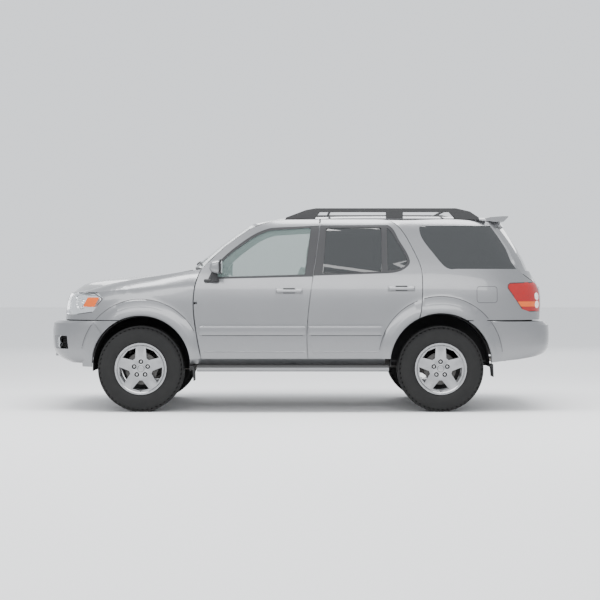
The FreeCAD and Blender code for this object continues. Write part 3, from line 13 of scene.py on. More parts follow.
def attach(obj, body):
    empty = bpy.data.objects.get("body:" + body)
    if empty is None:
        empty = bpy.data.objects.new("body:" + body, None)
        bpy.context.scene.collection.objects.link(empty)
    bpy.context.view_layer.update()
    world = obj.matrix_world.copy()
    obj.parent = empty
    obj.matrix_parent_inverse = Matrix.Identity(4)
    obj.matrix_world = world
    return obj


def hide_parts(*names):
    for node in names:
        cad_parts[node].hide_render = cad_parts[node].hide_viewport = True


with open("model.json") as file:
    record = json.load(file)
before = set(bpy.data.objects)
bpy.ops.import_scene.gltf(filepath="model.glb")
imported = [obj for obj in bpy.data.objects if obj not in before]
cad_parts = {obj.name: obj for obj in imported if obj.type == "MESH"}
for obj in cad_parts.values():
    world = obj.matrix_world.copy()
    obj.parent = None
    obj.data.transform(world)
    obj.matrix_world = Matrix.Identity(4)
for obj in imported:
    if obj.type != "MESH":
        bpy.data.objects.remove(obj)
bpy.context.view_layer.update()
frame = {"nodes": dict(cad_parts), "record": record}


# The studio: a pale floor, a large soft light overhead, two softer ones at the sides, and a camera
# level with the door handles, square to the vehicle's left side.

floor_half = 60
soft_lights = (("overhead_light", (0, -1.5, 7.0), 0, (9, 3), 900),
               ("left_light", (-2, -11, 5.5), 62, (14, 2.4), 560),
               ("right_light", (2, 11, 5.0), -65, (14, 2.4), 300))
sky_colour, sky_strength = (0.93, 0.96, 1.0, 1), 1.3
camera_place, camera_lens, camera_film, camera_shift = (0, -14, 1.25), 79.8, 36, -0.0252

floor_mesh = bpy.data.meshes.new("floor")
work = bmesh.new()
bmesh.ops.create_grid(work, x_segments=1, y_segments=1, size=floor_half)
work.to_mesh(floor_mesh)
work.free()
pale_floor = bpy.data.materials.new("pale_floor")
pale_floor.use_nodes = True
shader = pale_floor.node_tree.nodes["Principled BSDF"]
shader.inputs["Base Color"].default_value = (0.86, 0.86, 0.86, 1)
shader.inputs["Roughness"].default_value = 0.7
floor_mesh.materials.append(pale_floor)
floor = bpy.data.objects.new("floor", floor_mesh)
bpy.context.scene.collection.objects.link(floor)

for name, place, turn, size, power in soft_lights:
    lamp = bpy.data.lights.new(name, "AREA")
    lamp.shape = "RECTANGLE"
    lamp.size, lamp.size_y = size
    lamp.energy = power
    holder = bpy.data.objects.new(name, lamp)
    holder.location = place
    holder.rotation_euler = (math.radians(turn), 0, 0)
    bpy.context.scene.collection.objects.link(holder)

world = bpy.data.worlds.new("studio")
bpy.context.scene.world = world
world.use_nodes = True
world.node_tree.nodes["Background"].inputs["Color"].default_value = sky_colour
world.node_tree.nodes["Background"].inputs["Strength"].default_value = sky_strength

camera = bpy.data.cameras.new("photo_camera")
camera.lens, camera.sensor_width, camera.shift_y = camera_lens, camera_film, camera_shift
camera.clip_end = 200
viewer = bpy.data.objects.new("photo_camera", camera)
viewer.location = camera_place
viewer.rotation_euler = (math.radians(90), 0, 0)
bpy.context.scene.collection.objects.link(viewer)
bpy.context.scene.camera = viewer


# The painted steel body: pressed panels hung on the frame, sprayed silver with a clear coat over fine
# metal flakes. Each panel is the model's own sheet, with its loose triangles joined and its edges kept.

weld_gap, cut_gap = 0.00005, 0.00001
door_pitch, panel_pitch = 0.045, 0.05
normal_reach, rounding_from = 1.3, 50
# The black window surround: its heights, its depths in the body side, and that side's half width by height.
frame_heights, frame_depths = (1.30, 1.85), (0.0015, 0.041)
side_line = ((1.25, 0.93), (1.33, 0.913), (1.46, 0.88), (1.6, 0.838), (1.74, 0.795), (1.81, 0.77), (1.85, 0.753))


class Value:
    """A shader socket that takes part in arithmetic."""
    tree = None

    def __init__(self, socket):
        self.socket = socket

    @staticmethod
    def node(kind, settings=None, **inputs):
        """A node with its settings, and values or links for its sockets, by name or as i and a number."""
        made = Value.tree.nodes.new(kind)
        for name, value in (settings or {}).items():
            setattr(made, name, value)
        for name, value in inputs.items():
            key = int(name[1:]) if name[0] == "i" and name[1:].isdigit() else name.replace("_", " ")
            if isinstance(value, Value):
                Value.tree.links.new(value.socket, made.inputs[key])
            else:
                made.inputs[key].default_value = value
        return made

    @staticmethod
    def maths(operation, first, second):
        return Value(Value.node("ShaderNodeMath", {"operation": operation}, i0=first, i1=second).outputs[0])

    def __add__(self, other):
        return Value.maths("ADD", self, other)

    def __radd__(self, other):
        return Value.maths("ADD", other, self)

    def __mul__(self, other):
        return Value.maths("MULTIPLY", self, other)

    def __rmul__(self, other):
        return Value.maths("MULTIPLY", other, self)


def finish_of(name, colour, roughness, metallic=0.0, **fixed):
    """A material with its constants on the shader's own sockets; its tree is left open for patterns."""
    made = bpy.data.materials.new(name)
    made.use_nodes = True
    Value.tree = made.node_tree
    shader = made.node_tree.nodes["Principled BSDF"]
    shader.inputs["Base Color"].default_value = (*colour, 1)
    shader.inputs["Roughness"].default_value = roughness
    shader.inputs["Metallic"].default_value = metallic
    for key, value in fixed.items():
        shader.inputs[key.replace("_", " ")].default_value = value
    return made, shader


def object_place():
    return Value(Value.node("ShaderNodeTexCoord").outputs["Object"])


def cloud(place, scale, detail=3.0, rough=0.5):
    made = Value.node("ShaderNodeTexNoise", Vector=place, Scale=scale, Detail=detail, Roughness=rough)
    return Value(made.outputs[0])


def blend_colour(factor, first, second):
    made = Value.node("ShaderNodeMix", {"data_type": "RGBA"}, i0=factor, i6=(*first, 1), i7=(*second, 1))
    return Value(made.outputs[2])


def feed(shader, socket, value):
    Value.tree.links.new(value.socket, shader.inputs[socket])


def roughen(shader, height, strength, distance):
    made = Value.node("ShaderNodeBump", Height=height, Strength=strength, Distance=distance)
    Value.tree.links.new(made.outputs[0], shader.inputs["Normal"])


silver, shader = finish_of("silver_paint", (0.19, 0.193, 0.20), 0.32, 0.8, Coat_Weight=0.8, Coat_Roughness=0.05)
place = object_place()
flakes = cloud(place, 1400.0, 0.0)
feed(shader, "Base Color", blend_colour(flakes, (0.17, 0.173, 0.179), (0.27, 0.273, 0.281)))
feed(shader, "Roughness", cloud(place, 3.0) * 0.06 + 0.31)

black_trim, shader = finish_of("black_window_trim", (0.018, 0.018, 0.02), 0.45)
place = object_place()
roughen(shader, cloud(place, 700.0), 0.15, 0.0004)
feed(shader, "Roughness", cloud(place, 9.0) * 0.12 + 0.38)


def piece_from(name, work, *materials, smooth_angle=None):
    """A finished bmesh as an object at the origin."""
    mesh = bpy.data.meshes.new(name)
    work.to_mesh(mesh)
    work.free()
    for material in materials:
        mesh.materials.append(material)
    if smooth_angle is not None:
        mesh.shade_smooth()
        mesh.set_sharp_from_angle(angle=math.radians(smooth_angle))
    piece = bpy.data.objects.new(name, mesh)
    bpy.context.scene.collection.objects.link(piece)
    return piece


def joined_copy(node):
    """A bmesh of a model node with its loose triangles joined."""
    work = bmesh.new()
    work.from_mesh(frame["nodes"][node].data)
    bmesh.ops.remove_doubles(work, verts=work.verts, dist=weld_gap)
    return work


def body_of_node(node):
    return next(body for body, nodes in frame["record"]["behaviour"]["bodies"].items() if node in nodes)


def cut_across(work, point, normal):
    """Cuts each face that a plane crosses, and keeps both sides."""
    bmesh.ops.bisect_plane(work, geom=work.verts[:] + work.edges[:] + work.faces[:], dist=cut_gap,
                           plane_co=point, plane_no=normal)


def diced(work, pitch):
    """Cuts a panel on evenly spaced planes, so that no face is long and thin."""
    for axis in range(3):
        places = [vert.co[axis] for vert in work.verts]
        low, high = min(places), max(places)
        cuts = int((high - low) / pitch)
        normal = Vector([1 if i == axis else 0 for i in range(3)])
        for step in range(1, cuts + 1):
            cut_across(work, normal * (low + (high - low) * step / (cuts + 1)), normal)


def evened_normals(mesh, reach, limit=32):
    """Shading normals averaged over the faces within reach that turn by less than the limit."""
    faces = mesh.polygons
    tree = KDTree(len(faces))
    for face in faces:
        tree.insert(face.center, face.index)
    tree.balance()
    normals = np.array([face.normal for face in faces])
    areas = np.array([face.area for face in faces])
    least = math.cos(math.radians(limit))
    near = {}
    corners = np.zeros((len(mesh.loops), 3))
    for face in faces:
        for loop in face.loop_indices:
            vertex = mesh.loops[loop].vertex_index
            if vertex not in near:
                found = tree.find_range(mesh.vertices[vertex].co, reach)
                indices = np.array([f[1] for f in found] or [face.index])
                spread = np.array([f[2] for f in found] or [0.0])
                near[vertex] = (normals[indices], areas[indices] * (1.001 - (spread / reach) ** 2))
            around, weights = near[vertex]
            kept = np.where(around @ normals[face.index] > least, weights, 0)
            total = kept @ around
            corners[loop] = total if total @ total > 0 else normals[face.index]
    mesh.shade_smooth()
    lengths = np.linalg.norm(corners, axis=1, keepdims=True)
    mesh.normals_split_custom_set((corners / lengths).tolist())


def dressed(node, name, materials, slot, angle=28, choose=None, round_edges=0.0, even=0.0, cuts=()):
    """A model node's joined copy, in its own finish, shown in the node's place."""
    work = joined_copy(node)
    if even:
        diced(work, even)
    for point, normal in cuts:
        cut_across(work, point, normal)
    if choose:
        for face in work.faces:
            face.material_index = choose(face)
    piece = piece_from(name, work, *materials, smooth_angle=angle)
    if even:
        evened_normals(piece.data, even * normal_reach)
    if round_edges:
        rounding = piece.modifiers.new("edges", "BEVEL")
        rounding.width, rounding.segments = round_edges, 2
        rounding.limit_method, rounding.angle_limit = "ANGLE", math.radians(rounding_from)
    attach(piece, body_of_node(node))
    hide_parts(node)


def window_frame_face(face):
    """1 on the recessed black surround of a door's window, found by its depth in the body side, else 0."""
    centre = face.calc_center_median()
    if not frame_heights[0] <= centre.z <= frame_heights[1]:
        return 0
    heights, half_widths = zip(*side_line)
    depth = np.interp(centre.z, heights, half_widths) - abs(centre.y)
    return 1 if frame_depths[0] < depth < frame_depths[1] else 0


for side in ("left", "right"):
    for end in ("front", "rear"):
        node = f"{end}_door_{side}"
        dressed(node, node + "_panel", (silver, black_trim), "paint", choose=window_frame_face, even=door_pitch)
for node in ("hood", "front_fenders", "quarter_panels", "tailgate", "roof_panel", "body_sides", "front_bumper",
             "rear_bumper", "spoiler"):
    dressed(node, node + "_skin", (silver,), "paint", even=panel_pitch)


# The glass: laminated windshield and clear front doors with a green cast, and dark privacy glass behind
# the front doors, each pane sitting in a black rubber run.

clear_glass = finish_of("green_tinted_glass", (0.20, 0.27, 0.255), 0.02, Alpha=0.30, IOR=1.5,
                        Coat_Weight=1.0, Coat_Roughness=0.01)[0]
dark_glass = finish_of("privacy_glass", (0.016, 0.018, 0.019), 0.02, Alpha=0.86, IOR=1.5,
                       Coat_Weight=1.0, Coat_Roughness=0.01)[0]
for slot, glass, nodes in (
        ("clear_glass", clear_glass, ("windshield", "front_door_glass_left", "front_door_glass_right")),
        ("dark_glass", dark_glass, ("rear_door_glass_left", "rear_door_glass_right", "quarter_glass",
                                    "tailgate_glass"))):
    for node in nodes:
        dressed(node, node + "_pane", (glass,), slot)


# Black parts outside: the rack's moulded rails, the wheel liners, cowl, wipers and grille in grained
# plastic, clipped or screwed to the body, and the rubber flaps behind the wheels.

soft_edge = 0.003

moulded_black, shader = finish_of("moulded_black_plastic", (0.02, 0.02, 0.021), 0.55)
place = object_place()
roughen(shader, cloud(place, 520.0, 4.0), 0.35, 0.0006)
feed(shader, "Roughness", cloud(place, 6.0) * 0.2 + 0.45)

flap_rubber, shader = finish_of("flap_rubber",(0.012, 0.012, 0.013), 0.7)
roughen(shader, cloud(object_place(), 300.0), 0.2, 0.0005)

for node, finish, slot in (
        ("roof_rack", moulded_black, "black_plastic"), ("wheel_liners", moulded_black, "black_plastic"),
        ("cowl", moulded_black, "black_plastic"), ("wipers", moulded_black, "black_plastic"),
        ("mud_flaps", flap_rubber, "rubber"), ("grille", moulded_black, "black_plastic")):
    dressed(node, node + "_dressed", (finish,), slot, round_edges=soft_edge)


# Underneath: the painted ladder frame and radiator, cast axle, arms, knuckles and drive line, a steel
# exhaust that heat has browned, the moulded fuel tank, and the spare on its hanger.

frame_black, shader = finish_of("frame_paint", (0.02, 0.02, 0.02), 0.5, 0.2)
place = object_place()
dust = cloud(place, 4.0, 5.0)
feed(shader, "Base Color", blend_colour(dust * 0.6, (0.015, 0.015, 0.016), (0.075, 0.068, 0.06)))
roughen(shader, cloud(place, 160.0, 4.0), 0.3, 0.0012)

cast_metal, shader = finish_of("cast_iron", (0.11, 0.11, 0.11), 0.6, 0.7)
place = object_place()
feed(shader, "Base Color", blend_colour(cloud(place, 14.0, 5.0), (0.06, 0.055, 0.05), (0.17, 0.165, 0.16)))
roughen(shader, cloud(place, 220.0, 4.0), 0.5, 0.001)

worn_steel, shader = finish_of("exhaust_steel", (0.33, 0.32, 0.30), 0.42, 0.9)
browning = cloud(object_place(), 7.0, 6.0)
feed(shader, "Base Color", blend_colour(browning, (0.20, 0.17, 0.14), (0.42, 0.41, 0.40)))

for node, finish, slot in (
        ("chassis_frame", frame_black, "chassis_black"), ("radiator", frame_black, "chassis_black"),
        ("rear_axle", cast_metal, "cast"), ("front_suspension", cast_metal, "cast"),
        ("knuckle_left", cast_metal, "cast"), ("knuckle_right", cast_metal, "cast"),
        ("powertrain", cast_metal, "cast"), ("exhaust", worn_steel, "steel"),
        ("fuel_tank", moulded_black, "black_plastic"), ("spare_wheel", flap_rubber, "tyre_rubber")):
    dressed(node, node + "_dressed", (finish,), slot, round_edges=soft_edge)


# The cabin's floor and hard trim: looped grey carpet glued to the floor pan, and a grained plastic
# dashboard and steering wheel bolted to the firewall.

carpet, shader = finish_of("grey_carpet", (0.05, 0.05, 0.05), 0.95)
pile = cloud(object_place(), 900.0, 2.0)
feed(shader, "Base Color", blend_colour(pile, (0.035, 0.034, 0.032), (0.10, 0.098, 0.092)))
roughen(shader, pile, 0.6, 0.002)

grained_trim, shader = finish_of("grained_cabin_plastic", (0.12, 0.115, 0.105), 0.6)
place = object_place()
roughen(shader, cloud(place, 420.0, 3.0), 0.4, 0.0007)
feed(shader, "Base Color", blend_colour(cloud(place, 3.0), (0.10, 0.097, 0.09), (0.135, 0.13, 0.12)))

for node, finish, slot in (("floor_pan", carpet, "carpet"), ("dashboard", grained_trim, "trim"),
                           ("steering_wheel", grained_trim, "trim")):
    dressed(node, node + "_dressed", (finish,), slot, round_edges=soft_edge)


# The running boards: painted aluminium steps on brackets from the frame, each with a ribbed rubber
# tread pressed into its top.

tread_inner = 0.86


def stripes(place, direction, scale):
    """Even soft stripes across one axis."""
    made = Value.node("ShaderNodeTexWave", {"bands_direction": direction}, Vector=place, Scale=scale, Distortion=0.0)
    return Value(made.outputs[1])


tread_rubber, shader = finish_of("step_tread_rubber", (0.018, 0.018, 0.019), 0.7)
rib_relief_and_shading = stripes(object_place(), "Y", 18.0)
# The tread's colour follows its ribs, darker in the troughs and lighter on the crests: painted shade and highlight.
feed(shader, "Base Color", blend_colour(rib_relief_and_shading, (0.010, 0.010, 0.010), (0.034, 0.034, 0.035)))
roughen(shader, rib_relief_and_shading, 0.8, 0.003)


def board_face(face):
    """1 on the ribbed rubber tread along the top of a running board, else 0."""
    return 1 if face.normal.z > 0.6 and abs(face.calc_center_median().y) > tread_inner else 0


dressed("running_boards", "running_board_steps", (silver, tread_rubber), "paint", choose=board_face,
        round_edges=0.005)


# The wheels: five-spoke cast aluminium rims on five nuts, a grey iron brake disc behind each, and a
# road tyre with raised tread blocks. Rim, disc and nuts are the model's own; the tyre is spun here.

sides = (("left", -1), ("right", 1))
axle_height, track, rim_half = 0.4245, 0.822, 0.115
axle_x = {"front": -1.566, "rear": 1.384}
stud_circle, nut_radius, pocket_radius, pocket_depth = 0.06985, 0.0135, 0.0245, 0.0275
studs = [(stud_circle * math.sin(math.radians(72 * k)), stud_circle * math.cos(math.radians(72 * k)))
         for k in range(5)]
# Near-black rings laid on each rim: painted shade round each nut in its pocket, the dark joint round the centre cap,
# and a dark spot at the valve.
shade_and_joint_rings = [(x, z, 0.0138, pocket_radius) for x, z in studs]
shade_and_joint_rings += [(0.0, 0.0, 0.0300, 0.0335), (0.0, -0.2240, 0.0, 0.0055)]
disc_depth, disc_radius = 0.079, 0.165
window_depth, window_radii = 0.034, (0.105, 0.208)
ring_lift, ring_steps, beside = 0.0006, 24, 1.3
# The tyre: grooves and blocks, the tread's slant, how its top falls away outward, and the shoulder notches.
groove_radius, tread_top, tread_steps, tread_half = 0.4165, 0.4244, 108, 0.09
groove_middles, groove_half, block_inset, block_radius = (0.0243, 0.069), 0.004, 0.0021, 0.41
slant_radius, slant_steps, slant_middle = 0.405, 9.0, 0.03
fall_from, fall = 0.08, 0.175
notch_radii, notch_inset, notch_depth = (0.3985, 0.4045), 0.0022, 0.008
sidewall = ((0.1010, 0.2405), (0.1066, 0.2560), (0.1160, 0.2680), (0.1235, 0.2830), (0.1285, 0.3010),
            (0.1305, 0.3200), (0.1296, 0.3400), (0.1272, 0.3560), (0.1262, 0.3600), (0.1268, 0.3660),
            (0.1225, 0.3790), (0.1150, 0.3960), (0.1030, 0.4085))
tread_edges = (0.0880, 0.0720, 0.0660, 0.0270, 0.0215)

alloy, shader = finish_of("cast_alloy", (0.34, 0.343, 0.35), 0.28, 0.9, Coat_Weight=0.35, Coat_Roughness=0.12)
place = object_place()
feed(shader, "Roughness", cloud(place, 60.0, 3.0) * 0.10 + 0.24)
feed(shader, "Base Color", blend_colour(cloud(place, 25.0, 2.0), (0.30, 0.303, 0.31), (0.38, 0.383, 0.39)))

disc_iron, shader = finish_of("brake_disc_iron", (0.10, 0.10, 0.10), 0.5, 0.8)
place = object_place()
feed(shader, "Base Color", blend_colour(cloud(place, 40.0, 4.0), (0.045, 0.042, 0.04), (0.12, 0.118, 0.115)))
roughen(shader, cloud(place, 300.0, 2.0), 0.3, 0.0006)

nut_steel, shader = finish_of("nut_steel", (0.42, 0.42, 0.42), 0.28, 0.95)
feed(shader, "Roughness", cloud(object_place(), 120.0, 2.0) * 0.15 + 0.22)

tyre_black, shader = finish_of("tyre_rubber", (0.02, 0.02, 0.021), 0.8, Specular_IOR_Level=0.25)
place = object_place()
grime = cloud(place, 11.0, 5.0, 0.6)
feed(shader, "Base Color", blend_colour(grime, (0.006, 0.006, 0.0062), (0.018, 0.0178, 0.0175)))
feed(shader, "Roughness", grime * 0.15 + 0.62)
roughen(shader, cloud(place, 700.0, 2.0), 0.25, 0.0005)

# Near-black for the tyre's groove floors and notches and for the rims' nut pockets, spoke windows and rings round the
# nuts: painted shade.
painted_shade_black, shader = finish_of("near_black_painted_shade", (0.003, 0.003, 0.003), 0.95, Specular_IOR_Level=0.05)
shade = cloud(object_place(), 90.0, 3.0)
feed(shader, "Base Color", blend_colour(shade, (0.001, 0.001, 0.001), (0.004, 0.004, 0.004)))


def rim_part(x_axle):
    """Which part of a wheel a face belongs to: rim 0, brake disc 1, nut 2, and 3 for painted shade on the walls of the
    nut pockets and the spoke windows.
    """
    def choose(face):
        centre = face.calc_center_median()
        across, up = centre.x - x_axle, centre.z - axle_height
        radius, depth = math.hypot(across, up), track + rim_half - abs(centre.y)
        from_stud = min(math.hypot(across - x, up - z) for x, z in studs)
        if from_stud < nut_radius:
            return 2
        # Painted shade: the deep faces of each nut's pocket, and the spoke windows' sides below, take the near-black.
        if from_stud < pocket_radius and depth > pocket_depth:
            return 3
        if depth > disc_depth and radius < disc_radius:
            return 1
        between_spokes = depth > window_depth and window_radii[0] < radius < window_radii[1]
        return 3 if between_spokes and abs(face.normal.y) < 0.8 else 0
    return choose


def off_axis(point):
    return math.hypot(point.x, point.z)


def tyre_mesh():
    """A tyre about the Y axis: a spun section whose tread faces are raised into blocks."""
    tread = [(y, groove_radius) for y in (*tread_edges, *(-y for y in tread_edges[::-1]))]
    section = [*sidewall, *tread, *((-y, radius) for y, radius in sidewall[::-1])]
    work = bmesh.new()
    verts = [work.verts.new((0, y, radius)) for y, radius in section]
    edges = [work.edges.new(pair) for pair in zip(verts, verts[1:])]
    bmesh.ops.spin(work, geom=verts + edges, cent=(0, 0, 0), axis=(0, 1, 0), dvec=(0, 0, 0),
                   angle=math.tau, steps=tread_steps, use_merge=True)
    bmesh.ops.remove_doubles(work, verts=work.verts, dist=0.00002)
    bmesh.ops.recalc_face_normals(work, faces=work.faces)
    step = math.tau / tread_steps
    for vert in work.verts:
        y, radius = vert.co.y, off_axis(vert.co)
        if radius > slant_radius:
            slant = step * slant_steps * (abs(y) - slant_middle) * (1 if y > 0 else -1)
            around = math.atan2(vert.co.x, vert.co.z) + slant
            vert.co.x, vert.co.z = radius * math.sin(around), radius * math.cos(around)
    centres = {face: face.calc_center_median() for face in work.faces}
    blocks = [face for face, centre in centres.items() if off_axis(centre) > block_radius
              and min(abs(abs(centre.y) - middle) for middle in groove_middles) > groove_half]
    bmesh.ops.inset_individual(work, faces=blocks, thickness=block_inset, depth=0.0)
    for face in blocks:
        for vert in face.verts:
            grow = (tread_top - fall * max(0.0, abs(vert.co.y) - fall_from)) / off_axis(vert.co)
            vert.co.x, vert.co.z = vert.co.x * grow, vert.co.z * grow
    notched = []
    for face in work.faces:
        centre = face.calc_center_median()
        turned = int((math.atan2(centre.x, centre.z) + math.pi) / step)
        if notch_radii[0] < off_axis(centre) < notch_radii[1] and turned % 2:
            notched.append(face)
    bmesh.ops.inset_individual(work, faces=notched, thickness=notch_inset, depth=-notch_depth)
    # Painted shade: the notches, and next the groove floors, take the near-black material.
    for face in notched:
        face.material_index = 1
    for face in work.faces:
        centre = face.calc_center_median()
        if abs(off_axis(centre) - groove_radius) < 0.002 and abs(centre.y) < tread_half:
            face.material_index = 1
    return work


def surface_of(*nodes):
    """The faces of some model nodes as a tree, to lay a piece on them."""
    work = bmesh.new()
    for node in nodes:
        work.from_mesh(frame["nodes"][node].data)
    tree = BVHTree.FromBMesh(work)
    work.free()
    return tree


def ring_on_rim(work, centre, inner, outer):
    """A flat ring about a point, spun from one short edge."""
    start = [work.verts.new(centre + Vector((radius, 0, 0))) for radius in (inner, outer)]
    bmesh.ops.spin(work, geom=[*start, work.edges.new(start)], cent=centre, axis=(0, 1, 0), dvec=(0, 0, 0),
                   angle=math.tau, steps=ring_steps, use_merge=True)


tyre = tyre_mesh()
tyre_base = bpy.data.meshes.new("tyre_base")
tyre.to_mesh(tyre_base)
tyre.free()
for end, x_axle in axle_x.items():
    for side, sign in sides:
        wheel, name = f"wheel_{end}_{side}", f"tyre_{end}_{side}"
        dressed(wheel, wheel + "_rim", (alloy, disc_iron, nut_steel, painted_shade_black), "alloy", angle=24,
                choose=rim_part(x_axle), round_edges=0.0028)
        # The rings of painted shade, the cap's joint and the valve's spot, laid on the rim's surface.
        work = bmesh.new()
        rim_tree = surface_of(wheel)
        for across, up, inner, outer in shade_and_joint_rings:
            x, z = x_axle + across, axle_height + up
            probe = Vector((x, sign * beside, z + (inner + outer) / 2))
            found = rim_tree.ray_cast(probe, Vector((0, -sign, 0)))[0]
            if found:
                ring_on_rim(work, Vector((x, found.y + sign * ring_lift, z)), max(inner, 0.001), outer)
        bmesh.ops.remove_doubles(work, verts=work.verts, dist=0.00001)
        work.normal_update()
        bmesh.ops.reverse_faces(work, faces=[face for face in work.faces if face.normal.y * sign < 0])
        piece = piece_from(wheel + "_shade_and_joint_marks", work, painted_shade_black)
        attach(piece, body_of_node(wheel))
        work = bmesh.new()
        work.from_mesh(tyre_base)
        bmesh.ops.translate(work, verts=work.verts, vec=(x_axle, sign * track, axle_height))
        piece = piece_from(name + "_tread", work, tyre_black, painted_shade_black, smooth_angle=32)
        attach(piece, body_of_node(name))
        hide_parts(name)


# The front lamps: clear moulded covers over bright fluted reflectors and two bowls, with an amber marker
# at the outer corner, bolted into the fenders, and round fog lamps in the bumper.

amber_heights = (1.034, 1.126)
amber_slope = Vector((0.88, 0, -0.475))
amber_sides = ((Vector((0, 0, amber_heights[0])), Vector((0, 0, 1))),
               (Vector((0, 0, amber_heights[1])), Vector((0, 0, -1))),
               (Vector((-2.153, 0, amber_heights[0])), amber_slope),
               (Vector((-2.033, 0, amber_heights[0])), -amber_slope))
lamp_pitch = 0.03

lamp_cover, shader = finish_of("clear_lamp_cover", (0.55, 0.58, 0.60), 0.03, Alpha=0.22, IOR=1.5, Coat_Weight=1.0)
feed(shader, "Roughness", cloud(object_place(), 8.0) * 0.02 + 0.02)

reflector, shader = finish_of("lamp_reflector", (0.80, 0.81, 0.82), 0.12, 1.0)
flute_relief_and_shading = stripes(object_place(), "X", 22.0)
roughen(shader, flute_relief_and_shading, 0.35, 0.002)
# Darker bands on the flutes' crests: painted reflection.
feed(shader, "Base Color", blend_colour(flute_relief_and_shading * 0.5, (0.78, 0.79, 0.80), (0.52, 0.53, 0.55)))

amber_plastic, shader = finish_of("amber_lamp_plastic", (0.62, 0.10, 0.002), 0.2, Coat_Weight=0.3,
                                  Coat_Roughness=0.03)
rib_relief_and_shading = stripes(object_place(), "Z", 60.0)
# Lighter on the ribs' crests and darker between them: painted highlight and shade.
feed(shader, "Base Color", blend_colour(rib_relief_and_shading, (0.50, 0.06, 0.001), (0.78, 0.14, 0.003)))
roughen(shader, rib_relief_and_shading, 0.3, 0.0008)

lens_glass, shader = finish_of("white_lamp_lens", (0.80, 0.80, 0.80), 0.08, 0.1, Coat_Weight=1.0)
cell_relief_and_shading = Value(Value.node("ShaderNodeTexVoronoi", Vector=object_place(), Scale=160.0).outputs[0])
# Darker in each cell's hollow and lighter at its edge: painted shade and highlight.
feed(shader, "Base Color", blend_colour(cell_relief_and_shading, (0.55, 0.50, 0.50), (0.92, 0.90, 0.90)))
roughen(shader, cell_relief_and_shading, 0.4, 0.0008)


def headlamp_part(face):
    """Cover 0 on the outer face, reflector 1 on the hidden faces, amber 2 at the outer rear corner."""
    centre, normal = face.calc_center_median(), face.normal
    outward = normal.x < -0.25 or abs(normal.y) > 0.45 and normal.y * centre.y > 0
    toward_corner = normal.x * -0.7 + normal.y * (0.7 if centre.y > 0 else -0.7)
    if toward_corner > 0.2 or outward:
        return 2 if all((centre - point).dot(facing) > 0 for point, facing in amber_sides) else 0
    return 1


def bowl(name, place, heading, radius, depth, finish, body="body", segments=40, dome=0.0):
    """A reflector bowl or round lens: a spun dish with a small lip, opening along its heading."""
    count = 9
    curve = [(radius * i / (count - 1), (dome - depth) * (1 - (i / (count - 1)) ** 2)) for i in range(count)]
    work = bmesh.new()
    verts = [work.verts.new((0, y, z)) for y, z in [*curve, (radius * 1.06, -0.003)]]
    edges = [work.edges.new(pair) for pair in zip(verts, verts[1:])]
    bmesh.ops.spin(work, geom=verts + edges, cent=(0, 0, 0), axis=(0, 0, 1), dvec=(0, 0, 0),
                   angle=math.tau, steps=segments, use_merge=True)
    bmesh.ops.remove_doubles(work, verts=work.verts, dist=weld_gap)
    turn = Vector((0, 0, 1)).rotation_difference(Vector(heading).normalized()).to_matrix().to_4x4()
    bmesh.ops.transform(work, matrix=Matrix.Translation(place) @ turn, verts=work.verts)
    bmesh.ops.recalc_face_normals(work, faces=work.faces)
    piece = piece_from(name, work, finish, smooth_angle=40)
    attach(piece, body)


dressed("headlamps", "headlamp_housings", (lamp_cover, reflector, amber_plastic), "lamp_clear", angle=30,
        choose=headlamp_part, even=lamp_pitch, cuts=amber_sides)
for side, sign in sides:
    beam, outer, fog = (-0.92, sign * 0.38, 0.04), (-0.75, sign * 0.66, 0.03), (-0.97, sign * 0.22, 0)
    bowl(f"main_beam_{side}", (-2.262, sign * 0.66, 1.085), beam, 0.062, 0.07, reflector)
    bowl(f"dip_beam_{side}", (-2.196, sign * 0.775, 1.065), outer, 0.052, 0.06, reflector)
    bowl(f"beam_bulb_{side}", (-2.232, sign * 0.668, 1.085), beam, 0.013, -0.012, lens_glass,
         segments=20)
    bowl(f"fog_bowl_{side}", (-2.405, sign * 0.715, 0.682), fog, 0.056, 0.045, reflector)
    bowl(f"fog_lens_{side}", (-2.409, sign * 0.716, 0.682), fog, 0.054, 0.0, lamp_cover, dome=0.012)


# The tail lamps: red moulded covers that wrap the rear corners, with an amber band low down and two
# clear round lenses in each, screwed into the quarter panels.

band_low, band_high = 1.036, 1.086
lens_heights, lens_radius = (1.137, 1.056), 0.036

red_plastic, shader = finish_of("red_lamp_plastic", (0.28, 0.001, 0.001), 0.2, Coat_Weight=0.3, Coat_Roughness=0.03)
rib_relief_and_shading = stripes(object_place(), "Z", 48.0)
# Lighter on the ribs' crests and darker between them: painted highlight and shade.
feed(shader, "Base Color", blend_colour(rib_relief_and_shading, (0.20, 0.0005, 0.0008), (0.40, 0.002, 0.002)))
roughen(shader, rib_relief_and_shading, 0.3, 0.0008)


def tail_lamp_part(face):
    """Red 0, amber 1 in the band."""
    return 1 if band_low < face.calc_center_median().z < band_high else 0


dressed("tail_lamps", "tail_lamp_covers", (red_plastic, amber_plastic), "lamp_red", angle=30,
        choose=tail_lamp_part, even=lamp_pitch,
        cuts=[(Vector((0, 0, height)), Vector((0, 0, 1))) for height in (band_low, band_high)])
lamp_tree = surface_of("tail_lamps")
for side, sign in sides:
    for number, height in enumerate(lens_heights, 1):
        start, aim = Vector((2.62, sign * 1.02, height)), Vector((-0.72, -sign * 0.69, 0))
        found, normal = lamp_tree.ray_cast(start, aim)[:2]
        if found:
            bowl(f"tail_lens_{side}_{number}", found + normal * 0.001, normal, lens_radius, 0.0, lens_glass,
                 dome=0.008)


# The door handles: painted pull grips on two rounded mounts, screwed through the door skin over a finger
# pocket, drawn as a flat black block of painted shade, and a painted bezel.

